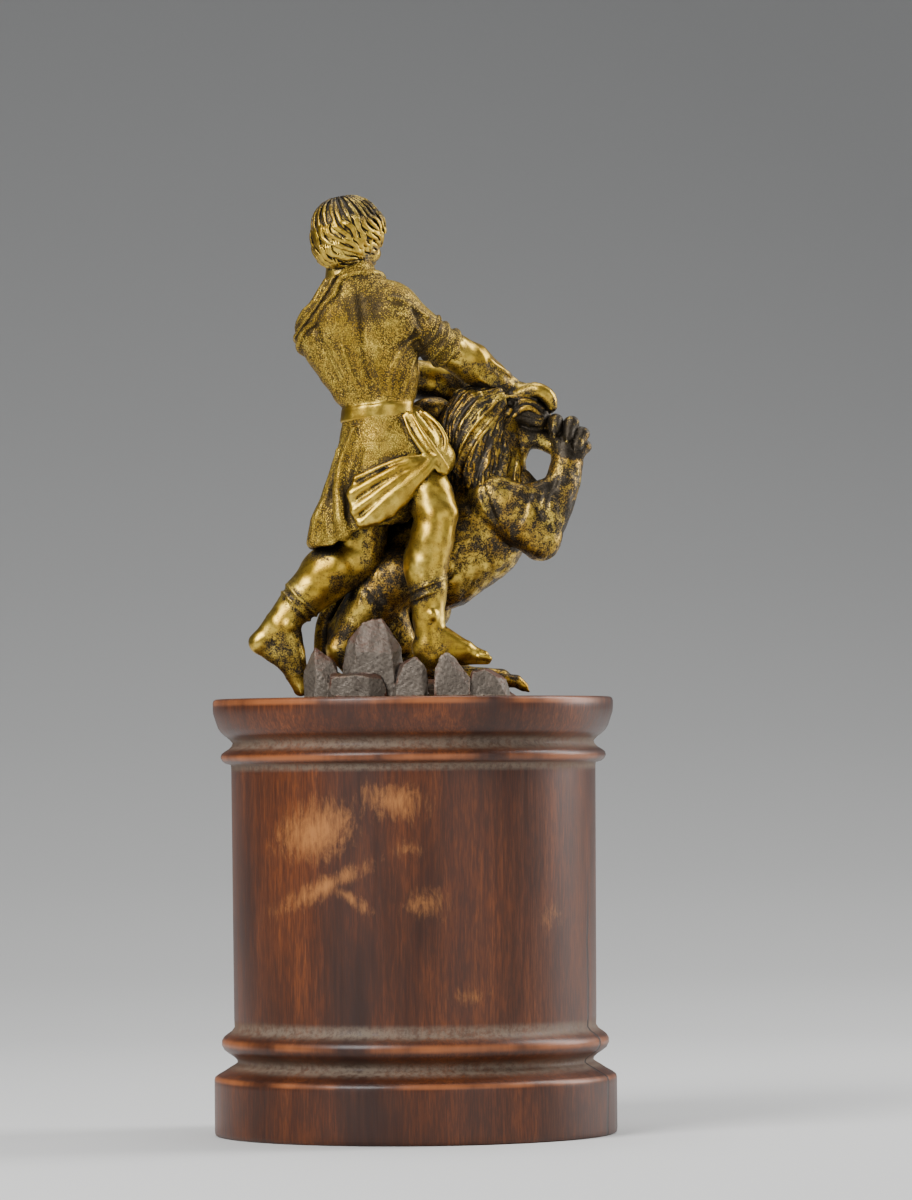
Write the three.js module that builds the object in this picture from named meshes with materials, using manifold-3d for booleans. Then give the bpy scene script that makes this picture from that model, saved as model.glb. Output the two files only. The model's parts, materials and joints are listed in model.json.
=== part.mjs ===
// A small gilt bronze of a man wrestling a lion, on broken rock, on a turned wooden stand.
// Millimetres, +Z up. The origin is the centre of the stand's underside. The man's back faces -Y.
import * as THREE from "three";
import { ConvexGeometry } from "three/addons/geometries/ConvexGeometry.js";
import { mergeVertices } from "three/addons/utils/BufferGeometryUtils.js";
import Module from "manifold-3d";

const wasm = await Module();
wasm.setup();

// Driving sizes of the turned stand.
const stand = {
  height: 108.5,
  plateRadius: 50,
  plinthRadius: 50.2,
  shaftRadius: 45.3,
  upperNeckRadius: 45.0,
  lowerNeckRadius: 44.4,
  beadRadius: 48.2,
  sides: 48,
};

// Driving sizes of the bronze. Places in it are counted from the middle of the stand's top.
const bronze = {
  fineCell: 1.15,
  triangles: 6800,
  rockGap: 0.55,
  rockCell: 1.6,
  rockCutterTriangles: 2600,
  rockCutterTop: 24,
};

// Distance fields. A shape is a function of (x, y, z) that is negative inside.

const lerp = (a, b, t) => a + (b - a) * t;
const clamp01 = (t) => Math.min(1, Math.max(0, t));

// A chain of tapered round bars through stations [x, y, z, radius].
function chain(...stations) {
  return (x, y, z) => {
    let best = Infinity;
    for (let i = 1; i < stations.length; i++) {
      const [ax, ay, az, ar] = stations[i - 1];
      const [bx, by, bz, br] = stations[i];
      const dx = bx - ax;
      const dy = by - ay;
      const dz = bz - az;
      const t = clamp01(((x - ax) * dx + (y - ay) * dy + (z - az) * dz) / (dx * dx + dy * dy + dz * dz));
      const away = (x - ax - dx * t) ** 2 + (y - ay - dy * t) ** 2 + (z - az - dz * t) ** 2;
      best = Math.min(best, Math.sqrt(away) - lerp(ar, br, t));
    }
    return best;
  };
}

// An ellipsoid with its own axes: half sizes along the given forward, side and up directions.
function egg(centre, half, axes = [[1, 0, 0], [0, 1, 0], [0, 0, 1]]) {
  return (x, y, z) => {
    const px = x - centre[0];
    const py = y - centre[1];
    const pz = z - centre[2];
    let near = 0;
    let far = 0;
    for (let i = 0; i < 3; i++) {
      const along = (px * axes[i][0] + py * axes[i][1] + pz * axes[i][2]) / half[i];
      near += along * along;
      far += (along * along) / (half[i] * half[i]);
    }
    near = Math.sqrt(near);
    return (near * (near - 1)) / Math.max(Math.sqrt(far), 1e-6);
  };
}

// A body with oval level sections. Each row is [height, x centre, x half, y centre, y half], lowest first.
function ovalLoft(rows, rounding) {
  const low = rows[0][0];
  const high = rows.at(-1)[0];
  return (x, y, z) => {
    const level = Math.min(high, Math.max(low, z));
    let i = 1;
    while (i < rows.length - 1 && rows[i][0] < level) i++;
    const s = (level - rows[i - 1][0]) / (rows[i][0] - rows[i - 1][0]);
    const t = s * s * (3 - 2 * s) * 0.5 + s * 0.5;
    const [, cx, hx, cy, hy] = rows[i].map((v, k) => lerp(rows[i - 1][k], v, t));
    const px = (x - cx) / hx;
    const py = (y - cy) / hy;
    const near = Math.hypot(px, py);
    const side = (near * (near - 1)) / Math.max(Math.hypot(px / hx, py / hy), 1e-6);
    const end = Math.max(low - z, z - high);
    const outX = Math.max(side + rounding, 0);
    const outZ = Math.max(end + rounding, 0);
    return Math.min(Math.max(side, end) + rounding, 0) + Math.hypot(outX, outZ) - rounding;
  };
}

const softMin = (a, b, k) => Math.min(a, b) - Math.max(k - Math.abs(a - b), 0) ** 2 / (4 * k);

// Shapes that run into each other over a fillet of about k.
const melt = (k, ...shapes) => (x, y, z) => shapes.reduce((d, s) => softMin(d, s(x, y, z), k), 1e3);

// A shape with a tool's room taken out of it, with edges softened by k.
const carve = (k, shape, ...tools) => (x, y, z) =>
  tools.reduce((d, tool) => -softMin(-d, tool(x, y, z), k), shape(x, y, z));

// Meshing. A grid cell's twelve edges run along x, y, then z. A corner's number holds its x, y and z bits.
const cellEdges = [0, 1, 2].flatMap((axis) =>
  [0, 1, 2, 3].map((n) => {
    const u = 1 << ((axis + 1) % 3);
    const v = 1 << ((axis + 2) % 3);
    const from = (n & 1 ? u : 0) | (n & 2 ? v : 0);
    return [from, from | (1 << axis)];
  }),
);
const edgeBetween = (a, b) => cellEdges.findIndex(([p, q]) => p === Math.min(a, b) && q === Math.max(a, b));
const cellFaces = [0, 1, 2].flatMap((axis) =>
  [0, 1].map((side) => {
    const u = 1 << ((axis + 1) % 3);
    const v = 1 << ((axis + 2) % 3);
    const base = side << axis;
    return [base, base | u, base | u | v, base | v];
  }),
);

// For each of the 256 ways a cell's corners can lie inside, the sheet of surface at each crossed edge.
const sheetTable = Array.from({ length: 256 }, (_, inside) => {
  const isIn = (corner) => (inside >> corner) & 1;
  const sheet = cellEdges.map(([a, b], i) => (isIn(a) !== isIn(b) ? i : -1));
  const join = (a, b) => {
    const [keep, drop] = [sheet[a], sheet[b]];
    for (let i = 0; i < 12; i++) if (sheet[i] === drop) sheet[i] = keep;
  };
  for (const face of cellFaces) {
    const sides = face.map((corner, i) => edgeBetween(corner, face[(i + 1) % 4]));
    const crossed = sides.filter((e) => sheet[e] >= 0);
    if (crossed.length === 2) join(crossed[0], crossed[1]);
  }
  const labels = [...new Set(sheet.filter((s) => s >= 0))];
  return { of: sheet.map((s) => labels.indexOf(s)), count: labels.length };
});

// Where only two corners of a grid face lie inside, and across from each other, a third is taken inside too.
function clearPinches(values, step, inside) {
  const pairs = [[step[0], step[1]], [step[1], step[2]], [step[2], step[0]]];
  let again = true;
  while (again) {
    again = false;
    for (let i = 0; i < values.length - step[1] - step[2]; i++)
      for (const [u, v] of pairs) {
        const [a, b, c, d] = [i, i + u, i + u + v, i + v];
        const isIn = values[a] < 0;
        if (values[c] < 0 !== isIn || values[b] < 0 === isIn || values[d] < 0 === isIn) continue;
        const [p, q] = isIn ? [b, d] : [a, c];
        values[values[p] < values[q] ? p : q] = inside;
        again = true;
      }
  }
}

// The surface where the field is zero, as { points, triangles }, from a grid of the given cell over a box.
function surfaceOf(field, low, high, cell) {
  const size = low.map((v, i) => Math.ceil((high[i] - v) / cell) + 1);
  const step = [1, size[0], size[0] * size[1]];
  const values = new Float64Array(size[0] * size[1] * size[2]);
  const placeOf = (i) => [
    low[0] + cell * (i % size[0]),
    low[1] + cell * (Math.floor(i / step[1]) % size[1]),
    low[2] + cell * Math.floor(i / step[2]),
  ];
  for (let i = 0; i < values.length; i++) values[i] = field(...placeOf(i));
  clearPinches(values, step, -cell / 50);
  const cornerStep = (c) => (c & 1) * step[0] + ((c >> 1) & 1) * step[1] + (c >> 2) * step[2];
  const points = [];
  const firstPoint = new Map();
  const insideOf = new Map();
  for (let z = 0; z < size[2] - 1; z++)
    for (let y = 0; y < size[1] - 1; y++)
      for (let x = 0; x < size[0] - 1; x++) {
        const at = x + y * step[1] + z * step[2];
        let inside = 0;
        for (let c = 0; c < 8; c++) if (values[at + cornerStep(c)] < 0) inside |= 1 << c;
        if (inside === 0 || inside === 255) continue;
        firstPoint.set(at, points.length);
        insideOf.set(at, inside);
        const { of, count } = sheetTable[inside];
        for (let s = 0; s < count; s++) {
          const sum = [0, 0, 0, 0];
          cellEdges.forEach(([a, b], e) => {
            if (of[e] !== s) return;
            const [va, vb] = [values[at + cornerStep(a)], values[at + cornerStep(b)]];
            const [pa, pb] = [placeOf(at + cornerStep(a)), placeOf(at + cornerStep(b))];
            for (let k = 0; k < 3; k++) sum[k] += lerp(pa[k], pb[k], va / (va - vb));
            sum[3] += 1;
          });
          points.push(ontoSurface(field, sum.slice(0, 3).map((v) => v / sum[3]), cell));
        }
      }
  const triangles = [];
  for (const at of firstPoint.keys())
    for (let axis = 0; axis < 3; axis++) {
      const [stepU, stepV] = [step[(axis + 1) % 3], step[(axis + 2) % 3]];
      const [va, vb] = [values[at], values[at + step[axis]]];
      if (va < 0 === vb < 0) continue;
      const quad = [[0, 0], [1, 0], [1, 1], [0, 1]].map(([du, dv]) => {
        const around = at - du * stepU - dv * stepV;
        return firstPoint.get(around) + sheetTable[insideOf.get(around)].of[axis * 4 + du + 2 * dv];
      });
      if (va >= 0) quad.reverse();
      const [p, q, r, s] = quad.map((i) => new THREE.Vector3(...points[i]));
      const [a, b, c, d] = quad;
      if (p.distanceTo(r) < q.distanceTo(s)) triangles.push([a, b, c], [a, c, d]);
      else triangles.push([a, b, d], [b, c, d]);
    }
  return { points, triangles };
}

// Moves a point along the field's slope towards the surface, by less than a cell.
function ontoSurface(field, start, cell) {
  const probe = cell * 0.1;
  let p = start;
  for (let turn = 0; turn < 2; turn++) {
    const d = field(...p);
    const slope = new THREE.Vector3(
      field(p[0] + probe, p[1], p[2]) - d,
      field(p[0], p[1] + probe, p[2]) - d,
      field(p[0], p[1], p[2] + probe) - d,
    ).divideScalar(probe);
    const move = slope.multiplyScalar(-d / Math.max(slope.lengthSq(), 0.25)).clampLength(0, cell * 0.3);
    p = [p[0] + move.x, p[1] + move.y, p[2] + move.z];
  }
  return p;
}

// The largest closed shell of a mesh, without any small closed hollow or crumb.
function mainShell({ points, triangles }) {
  const parent = points.map((_, i) => i);
  const root = (i) => {
    while (parent[i] !== i) i = parent[i] = parent[parent[i]];
    return i;
  };
  for (const [a, b, c] of triangles) {
    parent[root(a)] = root(b);
    parent[root(b)] = root(c);
  }
  const shells = Map.groupBy(triangles, (triangle) => root(triangle[0]));
  const largest = [...shells.values()].reduce((a, b) => (a.length > b.length ? a : b));
  const place = new Map();
  for (const i of largest.flat()) if (!place.has(i)) place.set(i, place.size);
  return {
    points: [...place.keys()].map((i) => points[i]),
    triangles: largest.map((triangle) => triangle.map((i) => place.get(i))),
  };
}

// Joins neighbouring points, the least noticeable first, until the mesh has only the wanted triangles.
function thin(mesh, wanted) {
  const points = mesh.points.map((p) => new THREE.Vector3(...p));
  const faces = mesh.triangles.map((t) => [...t]);
  const around = points.map(() => new Set());
  const errors = points.map(() => new Float64Array(10));
  const turned = points.map(() => 0);
  const faceNormal = (face, moved, place) => {
    const [a, b, c] = face.map((v) => (moved.includes(v) ? place : points[v]));
    return b.clone().sub(a).cross(c.clone().sub(a));
  };
  faces.forEach((face, f) => {
    const normal = faceNormal(face, [], null);
    const area = normal.length();
    normal.normalize();
    const n = [normal.x, normal.y, normal.z, -normal.dot(points[face[0]])];
    for (const v of face) {
      around[v].add(f);
      let k = 0;
      for (let i = 0; i < 4; i++) for (let j = i; j < 4; j++) errors[v][k++] += area * n[i] * n[j];
    }
  });
  const errorAt = (q, p) =>
    q[0] * p.x * p.x + 2 * q[1] * p.x * p.y + 2 * q[2] * p.x * p.z + 2 * q[3] * p.x +
    q[4] * p.y * p.y + 2 * q[5] * p.y * p.z + 2 * q[6] * p.y + q[7] * p.z * p.z + 2 * q[8] * p.z + q[9];
  const bestPlace = (a, b, q) => {
    const middle = points[a].clone().lerp(points[b], 0.5);
    const solver = new THREE.Matrix3().set(q[0], q[1], q[2], q[1], q[4], q[5], q[2], q[5], q[7]);
    const size = (q[0] + q[4] + q[7]) / 3;
    if (Math.abs(solver.determinant()) > 1e-4 * size ** 3) {
      const best = new THREE.Vector3(-q[3], -q[6], -q[8]).applyMatrix3(solver.invert());
      if (best.distanceTo(middle) < points[a].distanceTo(points[b])) return best;
    }
    return middle;
  };
  const heap = [];
  const lower = (i, j) => heap[i].cost < heap[j].cost;
  const swap = (i, j) => ([heap[i], heap[j]] = [heap[j], heap[i]]);
  const push = (item) => {
    heap.push(item);
    let i = heap.length - 1;
    while (i > 0 && lower(i, (i - 1) >> 1)) {
      swap(i, (i - 1) >> 1);
      i = (i - 1) >> 1;
    }
  };
  const pop = () => {
    const top = heap[0];
    const last = heap.pop();
    if (!heap.length) return top;
    heap[0] = last;
    for (let i = 0; ; ) {
      let least = i;
      for (const child of [2 * i + 1, 2 * i + 2]) {
        if (child < heap.length && lower(child, least)) least = child;
      }
      if (least === i) return top;
      swap(i, least);
      i = least;
    }
  };
  const offer = (a, b) => {
    const q = errors[a].map((v, k) => v + errors[b][k]);
    const place = bestPlace(a, b, q);
    const cost = Math.max(errorAt(q, place), 0) + 1e-5 * points[a].distanceToSquared(points[b]);
    push({ a, b, place, cost, turnA: turned[a], turnB: turned[b] });
  };
  const neighbours = (v) => new Set([...around[v]].flatMap((f) => faces[f]).filter((w) => w !== v));
  const foldsOver = (v, other, place) =>
    [...around[v]].some((f) => {
      if (faces[f].includes(other)) return false;
      const before = faceNormal(faces[f], [], null).normalize();
      const after = faceNormal(faces[f], [v], place);
      return after.length() < 1e-4 || before.dot(after.normalize()) < 0.25;
    });
  let left = faces.length;
  points.forEach((_, a) => neighbours(a).forEach((b) => b > a && offer(a, b)));
  while (left > wanted && heap.length) {
    const { a, b, place, turnA, turnB } = pop();
    if (turned[a] !== turnA || turned[b] !== turnB) continue;
    const nearB = neighbours(b);
    if ([...neighbours(a)].filter((v) => nearB.has(v)).length !== 2) continue;
    if (foldsOver(a, b, place) || foldsOver(b, a, place)) continue;
    points[a].copy(place);
    errors[b].forEach((v, k) => (errors[a][k] += v));
    for (const f of around[b]) {
      if (faces[f].includes(a)) {
        for (const v of faces[f]) if (v !== b) around[v].delete(f);
        faces[f] = null;
        left -= 1;
      } else {
        faces[f][faces[f].indexOf(b)] = a;
        around[a].add(f);
      }
    }
    around[b] = new Set();
    turned[a] += 1;
    turned[b] = -1;
    neighbours(a).forEach((v) => offer(a, v));
  }
  return { points: points.map((p) => p.toArray()), triangles: faces.filter((f) => f) };
}

function geometryOf({ points, triangles }) {
  const geometry = new THREE.BufferGeometry();
  geometry.setAttribute("position", new THREE.Float32BufferAttribute(points.flat(), 3));
  geometry.setIndex(triangles.flat());
  return geometry;
}

function solidOf(geometry) {
  const bare = geometry.index ? geometry.clone() : geometry;
  bare.deleteAttribute("normal");
  bare.deleteAttribute("uv");
  const merged = mergeVertices(bare, 1e-4);
  return new wasm.Manifold(
    new wasm.Mesh({
      numProp: 3,
      vertProperties: merged.attributes.position.array,
      triVerts: new Uint32Array(merged.index.array),
    }),
  );
}

function geometryOfSolid(solid) {
  const { vertProperties, triVerts } = solid.getMesh();
  const geometry = new THREE.BufferGeometry();
  geometry.setAttribute("position", new THREE.BufferAttribute(vertProperties, 3));
  geometry.setIndex(new THREE.BufferAttribute(triVerts, 1));
  return geometry;
}

// Keeps a shape from being worked out far from where it is.
const within = (centre, radius, shape) => (x, y, z) => {
  const away = Math.sqrt((x - centre[0]) ** 2 + (y - centre[1]) ** 2 + (z - centre[2]) ** 2) - radius;
  return away > 6 ? away : shape(x, y, z);
};

// A round band about a limb: its middle, the limb's direction, and the band's radius and half width.
function band(centre, direction, radius, half) {
  const along = new THREE.Vector3(...direction).normalize();
  const across = new THREE.Vector3(0, 1, 0).cross(along).normalize();
  const other = along.clone().cross(across);
  return egg(centre, [half, radius, radius], [along.toArray(), across.toArray(), other.toArray()]);
}

// The man's head is built on its own axes: forward, to his right, and up from the middle of the skull.
const headCentre = new THREE.Vector3(-14.8, -1.5, 115.2);
const headForward = new THREE.Vector3(0.62, 0.76, -0.18).normalize();
const headSide = headForward.clone().cross(new THREE.Vector3(0, 0, 1)).normalize();
const headUp = headSide.clone().cross(headForward);
const headAxes = [headForward, headSide, headUp].map((v) => v.toArray());

function onHead(forward, side, up, ...rest) {
  const place = headCentre.clone();
  place.addScaledVector(headForward, forward).addScaledVector(headSide, side).addScaledVector(headUp, up);
  return [...place.toArray(), ...rest];
}

function manHead() {
  const skull = melt(
    1.6,
    egg(onHead(-0.9, 0, 1.6), [8.9, 7.3, 7.9], headAxes),
    egg(onHead(2.8, 0, -3), [5.2, 5.6, 6.6], headAxes),
    chain(onHead(5.6, -1, -8.2, 1.7), onHead(5.6, 1, -8.2, 1.7)),
    chain(onHead(7.4, -3.4, 1.1, 0.9), onHead(8, 0, 1.2, 1), onHead(7.4, 3.4, 1.1, 0.9)),
    chain(onHead(7.9, 0, 0.6, 0.7), onHead(9.5, 0, -3.9, 1.1)),
    chain(onHead(7.1, -1.5, -6.1, 0.8), onHead(7.8, 0, -6.2, 0.8), onHead(7.1, 1.5, -6.1, 0.8)),
  );
  const face = carve(
    0.8,
    skull,
    egg(onHead(9, 2.7, -0.6), [2.2, 1.5, 1.2], headAxes),
    egg(onHead(9, -2.7, -0.6), [2.2, 1.5, 1.2], headAxes),
  );
  const lockCount = 15;
  const cap = egg(onHead(-0.9, 0, 1.9), [10.3, 8.9, 8.8], headAxes);
  const nape = egg(onHead(-4.2, 0, -3), [6.2, 6.9, 6.2], headAxes);
  const faceRoom = egg(onHead(10.4, 0, -5.4), [9.6, 7.4, 10.4], headAxes);
  const mass = carve(0.8, melt(2, cap, nape), faceRoom);
  const hair = (x, y, z) => {
    const out = new THREE.Vector3(x, y, z).sub(headCentre);
    const side = out.dot(headSide);
    const back = -out.dot(headForward);
    const reach = Math.hypot(side, back);
    const turn = Math.atan2(side, back) + 0.05 * out.dot(headUp);
    return mass(x, y, z) - 0.4 * Math.cos(lockCount * turn) * clamp01((reach - 2) / 4);
  };
  const ears = melt(
    0.8,
    egg(onHead(0.4, 7, -1.8), [1.5, 1, 2.6], headAxes),
    egg(onHead(0.4, -7, -1.8), [1.5, 1, 2.6], headAxes),
  );
  return within(headCentre.toArray(), 14, melt(0.6, face, hair, ears));
}

function manTrunk() {
  const chest = ovalLoft(
    [
      [64, -7.6, 9.2, -5, 6.6],
      [72, -8.2, 8.5, -5, 6.2],
      [76, -8.6, 10, -5, 6.6],
      [80, -9.7, 12, -5, 7.3],
      [85, -11.5, 13.5, -4.8, 8.2],
      [90, -12.6, 14.3, -4.5, 8.8],
      [95, -13, 12.6, -4.2, 8.6],
      [99, -13.4, 9.6, -4, 7.2],
      [103, -14, 6, -3.8, 5.4],
    ],
    2,
  );
  const shoulders = melt(
    3,
    chain([-20.3, -3, 92, 7], [-14.5, -4.5, 98, 6], [-4.4, -5.6, 97, 6]),
    chain([-16.4, -3.6, 101, 5.2], [-16, -2.6, 108.6, 4.8]),
    chain([-12.4, -4, 102, 5], [-13, -2.6, 109, 4.8]),
    chain([-5.5, -5.6, 98.5, 5], [-14, -4.6, 103, 4.4]),
  );
  const grooves = [
    chain([-8.4, -12.1, 75, 0.7], [-11, -14.2, 84, 1], [-11.8, -14.3, 93, 0.7]),
    chain([-23.6, -10.6, 92, 0.4], [-21.2, -10.8, 84, 0.8], [-18, -9.6, 75.6, 0.5]),
  ];
  const sideStrip = chain([-24.4, -3.4, 90, 3], [-21, -4.4, 83, 2.6], [-17.2, -5, 76, 1.8]);
  const belt = (x, y, z) =>
    ovalLoft([[69.3, -8.4, 9.1, -5, 6.9], [73.3, -8.2, 9, -5, 6.8]], 0.8)(x, y, z - 0.09 * (x + 8.4));
  const collar = melt(
    1,
    chain([-11, -8.6, 105.6, 0.9], [-16.5, -8.6, 104.4, 1.1], [-21.2, -8.2, 99.6, 1.1]),
    chain([-21.2, -8.2, 99.6, 1.1], [-24.8, -7, 93.6, 1.2], [-26.2, -4.6, 89, 1], [-25.6, -1.6, 86.6, 0.6]),
    chain([-11, -8.6, 105.6, 0.9], [-7.6, -5, 105, 0.9], [-7.4, -0.4, 103, 1], [-11.4, 3.2, 100.4, 1.1]),
    chain([-11.4, 3.2, 100.4, 1.1], [-16.4, 3.8, 99, 1.1], [-20.8, 1.6, 98.4, 1]),
  );
  const trunk = carve(1.4, melt(3, chest, shoulders, sideStrip), ...grooves);
  return within([-12, -5, 88], 34, melt(0.7, trunk, collar, belt));
}

function manArms() {
  const right = melt(
    1,
    chain([-4.2, -5.6, 97.2, 6], [5.3, -2, 89.8, 5.1], [10.1, 0.6, 87, 4.8], [15.3, 3.6, 84.1, 4.9]),
    chain([15.3, 3.6, 84.1, 4.9], [20.2, 6.6, 80.6, 4.2], [23.6, 8.8, 77.6, 3.4], [27.5, 11.2, 76.2, 3.1]),
    band([6.4, -1.4, 89.3], [9, 5.6, -5.6], 5.7, 1.4),
    band([9, 0.1, 87.7], [9, 5.6, -5.6], 5.6, 1.4),
  );
  const fingers = [0, 1, 2, 3].map((i) => {
    const y = 14 - 2.3 * i;
    const knuckles = [[31.6, y, 77.4, 1.8], [34.2, y, 75.6, 1.6]];
    return chain([27, y - 0.4, 76.6, 1.9], ...knuckles, [34.8, y - 0.4, 72.2, 1.3]);
  });
  const left = chain(
    [-20.5, -1, 92, 6.6],
    [-13, 9, 86, 5.6],
    [-6, 14, 81.6, 5.3],
    [5, 17, 80.4, 5.2],
    [16, 18.4, 76.4, 4.2],
    [22.5, 17.6, 70.4, 3],
    [26.4, 16, 66.8, 2.9],
  );
  const leftCuff = melt(
    0.6,
    band([-2.4, 14.9, 81.2], [11, 2.8, -1], 6, 1.3),
    band([0.4, 15.6, 80.9], [11, 2.8, -1], 5.9, 1.3),
  );
  return melt(0.8, within([10, 3, 84], 30, melt(0.5, right, ...fingers)), left, leftCuff);
}

// The skirt's level sections, as [height, x centre, x half, y centre, y half].
const skirtRows = [
  [34, -14.5, 11.5, -3.4, 9.4],
  [44, -12.6, 11.8, -3.6, 9.8],
  [47, -10.6, 12.4, -3.8, 9.8],
  [52, -7.8, 12.9, -4.2, 9.6],
  [56, -5.8, 13.8, -4.4, 9.4],
  [61, -4.8, 13.9, -4.6, 9],
  [64.5, -5.4, 12.4, -4.8, 8.4],
  [69.5, -7.6, 9.4, -5, 6.9],
];

// Slides a station [x, y, z, radius] level, in or out, onto the skirt's surface.
function onSkirt([x, y, z, radius]) {
  const i = Math.max(1, skirtRows.findIndex((row) => row[0] >= z));
  const t = (z - skirtRows[i - 1][0]) / (skirtRows[i][0] - skirtRows[i - 1][0]);
  const [, cx, hx, cy, hy] = skirtRows[i].map((v, k) => lerp(skirtRows[i - 1][k], v, t));
  const reach = Math.hypot((x - cx) / hx, (y - cy) / hy);
  return [cx + (x - cx) / reach, cy + (y - cy) / reach, z, radius];
}

function manSkirt() {
  const cloth = ovalLoft(skirtRows, 1.5);
  const hemAt = (x) => 38.2 + 2.6 * clamp01((x + 19.2) / 1.8) + 0.21 * Math.max(0, x + 17.4);
  const cut = (x, y, z) => Math.max(cloth(x, y, z), (hemAt(x) - z) * 0.9);
  const hollow = egg([-9.5, -3.4, 39.6], [10.4, 7, 5.4]);
  const ridges = [
    [[-14.4, -11.4, 67, 0.9], [-18, -10.4, 57, 1.5], [-17.6, -12, 47, 1.9], [-16.4, -12.4, 40.6, 1.8]],
    [[-20.6, -8.4, 54, 0.8], [-23.6, -8, 45, 1.3], [-24, -7.4, 39, 1.3]],
    [[-15.4, -1, 66, 0.9], [-20, -1, 54, 1.5], [-24, 0, 39, 1.7]],
    [[-12.4, 1, 66, 0.9], [-17, 4.4, 54, 1.7], [-19.6, 5, 39, 1.9]],
    [[-8, 2, 66, 0.9], [-9.5, 5, 54, 1.8], [-12, 6, 40, 2]],
    [[-3, 1, 66, 0.9], [-2, 5, 57, 1.9], [-4, 5.4, 45, 2]],
    [[1, -2, 66, 1.2], [6, 0, 58, 2.1], [4, 0, 50, 2.2]],
  ].map((stations) => chain(...stations.map(onSkirt)));
  const grooves = [
    [[-11.4, -13.6, 63.6, 0.6], [-14, -14, 57, 1.2], [-15.2, -14.6, 49.5, 1.2], [-14.4, -14.6, 44, 0.9]],
    [[-19.8, -11.4, 56, 0.5], [-21.2, -11.2, 48.3, 1], [-20.6, -12, 40.6, 1]],
  ].map((stations) => chain(...stations.map(onSkirt)));
  const body = carve(1.2, melt(1.4, cut, ...ridges), hollow, ...grooves);
  const knot = [6.2, -12.2, 59.4, 1.2];
  const pleatEnds = [
    [-12.6, -13.4, 55.4, 1.4],
    [-13.6, -13.8, 51.6, 1.6],
    [-13, -14, 47.6, 1.7],
    [-10, -14, 45, 1.7],
    [-6, -13.8, 45.6, 1.7],
    [-2.4, -13.4, 48.2, 1.6],
    [1, -13, 52, 1.4],
  ];
  const sheet = egg([-6.4, -12.4, 51.2], [7.4, 2, 5.2], [[0.92, 0.06, 0.39], [0, 1, 0], [-0.39, 0, 0.92]]);
  const fan = melt(1, sheet, ...pleatEnds.map((end) => chain(knot, end)));
  const strips = melt(
    0.8,
    chain(
      [-0.6, -10.4, 70.4, 1.3],
      [1.6, -11.4, 66, 1.7],
      [4.6, -12.4, 61.4, 1.8],
      [8.2, -12.4, 56.4, 1.7],
    ),
    chain([2.6, -6, 71.2, 1.2], [5.2, -7.4, 68.4, 2], [7.4, -8.4, 64.4, 2], [7.6, -9.4, 61, 1.3]),
    chain([0.6, -3.4, 70, 3.2], [4, -4.4, 65, 4.2], [6.4, -6, 59.6, 4.8]),
  );
  return within([-7, -5, 54], 32, melt(0.8, body, fan, strips));
}

function manLegs() {
  const right = melt(
    1.2,
    chain([-2, -5, 60, 8], [4.6, -9.6, 50.5, 6], [6.2, -11.4, 45, 5.5], [5.2, -11.8, 39.5, 5.2]),
    chain([5.2, -11.8, 39.5, 5.2], [3.6, -11.4, 32, 5.4], [4.1, -11.8, 27, 4.8], [4.1, -12, 20, 3.8]),
    chain(
      [4.1, -12, 20, 3.8],
      [4.6, -12, 13, 3.9],
      [6, -12.2, 10.8, 3.6],
      [13.4, -13, 11, 2.5],
      [19.2, -13.2, 9.9, 1.4],
    ),
    chain([8, -12.4, 14.4, 3], [13, -13.4, 12, 2.2]),
  );
  const left = melt(
    1.2,
    chain([-11, -2, 58, 8], [-12.6, -1, 46, 7.2], [-13, -1, 35.4, 6.4], [-21, -2.4, 31.2, 6.7]),
    chain(
      [-21, -2.4, 31.2, 6.7],
      [-26.5, -3, 25.8, 5.5],
      [-29.4, -3.5, 22.6, 4.6],
      [-32.8, -4, 18.8, 4],
      [-38, -4, 14, 2.4],
    ),
    chain([-31.8, -4, 17, 4.2], [-30.6, -4, 11.6, 3.9], [-29, -4, 6.6, 2.9], [-27.9, -4.2, 2, 2.1]),
    chain([-38, -4, 14, 2.4], [-31.6, -4, 9.6, 2.6]),
  );
  const bands = melt(
    0.4,
    band([4, -11.6, 27.8], [-0.4, 0, 1], 5.8, 1.3),
    band([4, -11.7, 25.2], [-0.4, 0, 1], 5.5, 1.3),
    band([-28, -3.2, 24.2], [-0.72, 0, -0.69], 5.8, 1.3),
  );
  return melt(0.5, within([3, -10, 34], 36, right), within([-22, -3, 30], 36, left), bands);
}

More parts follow.
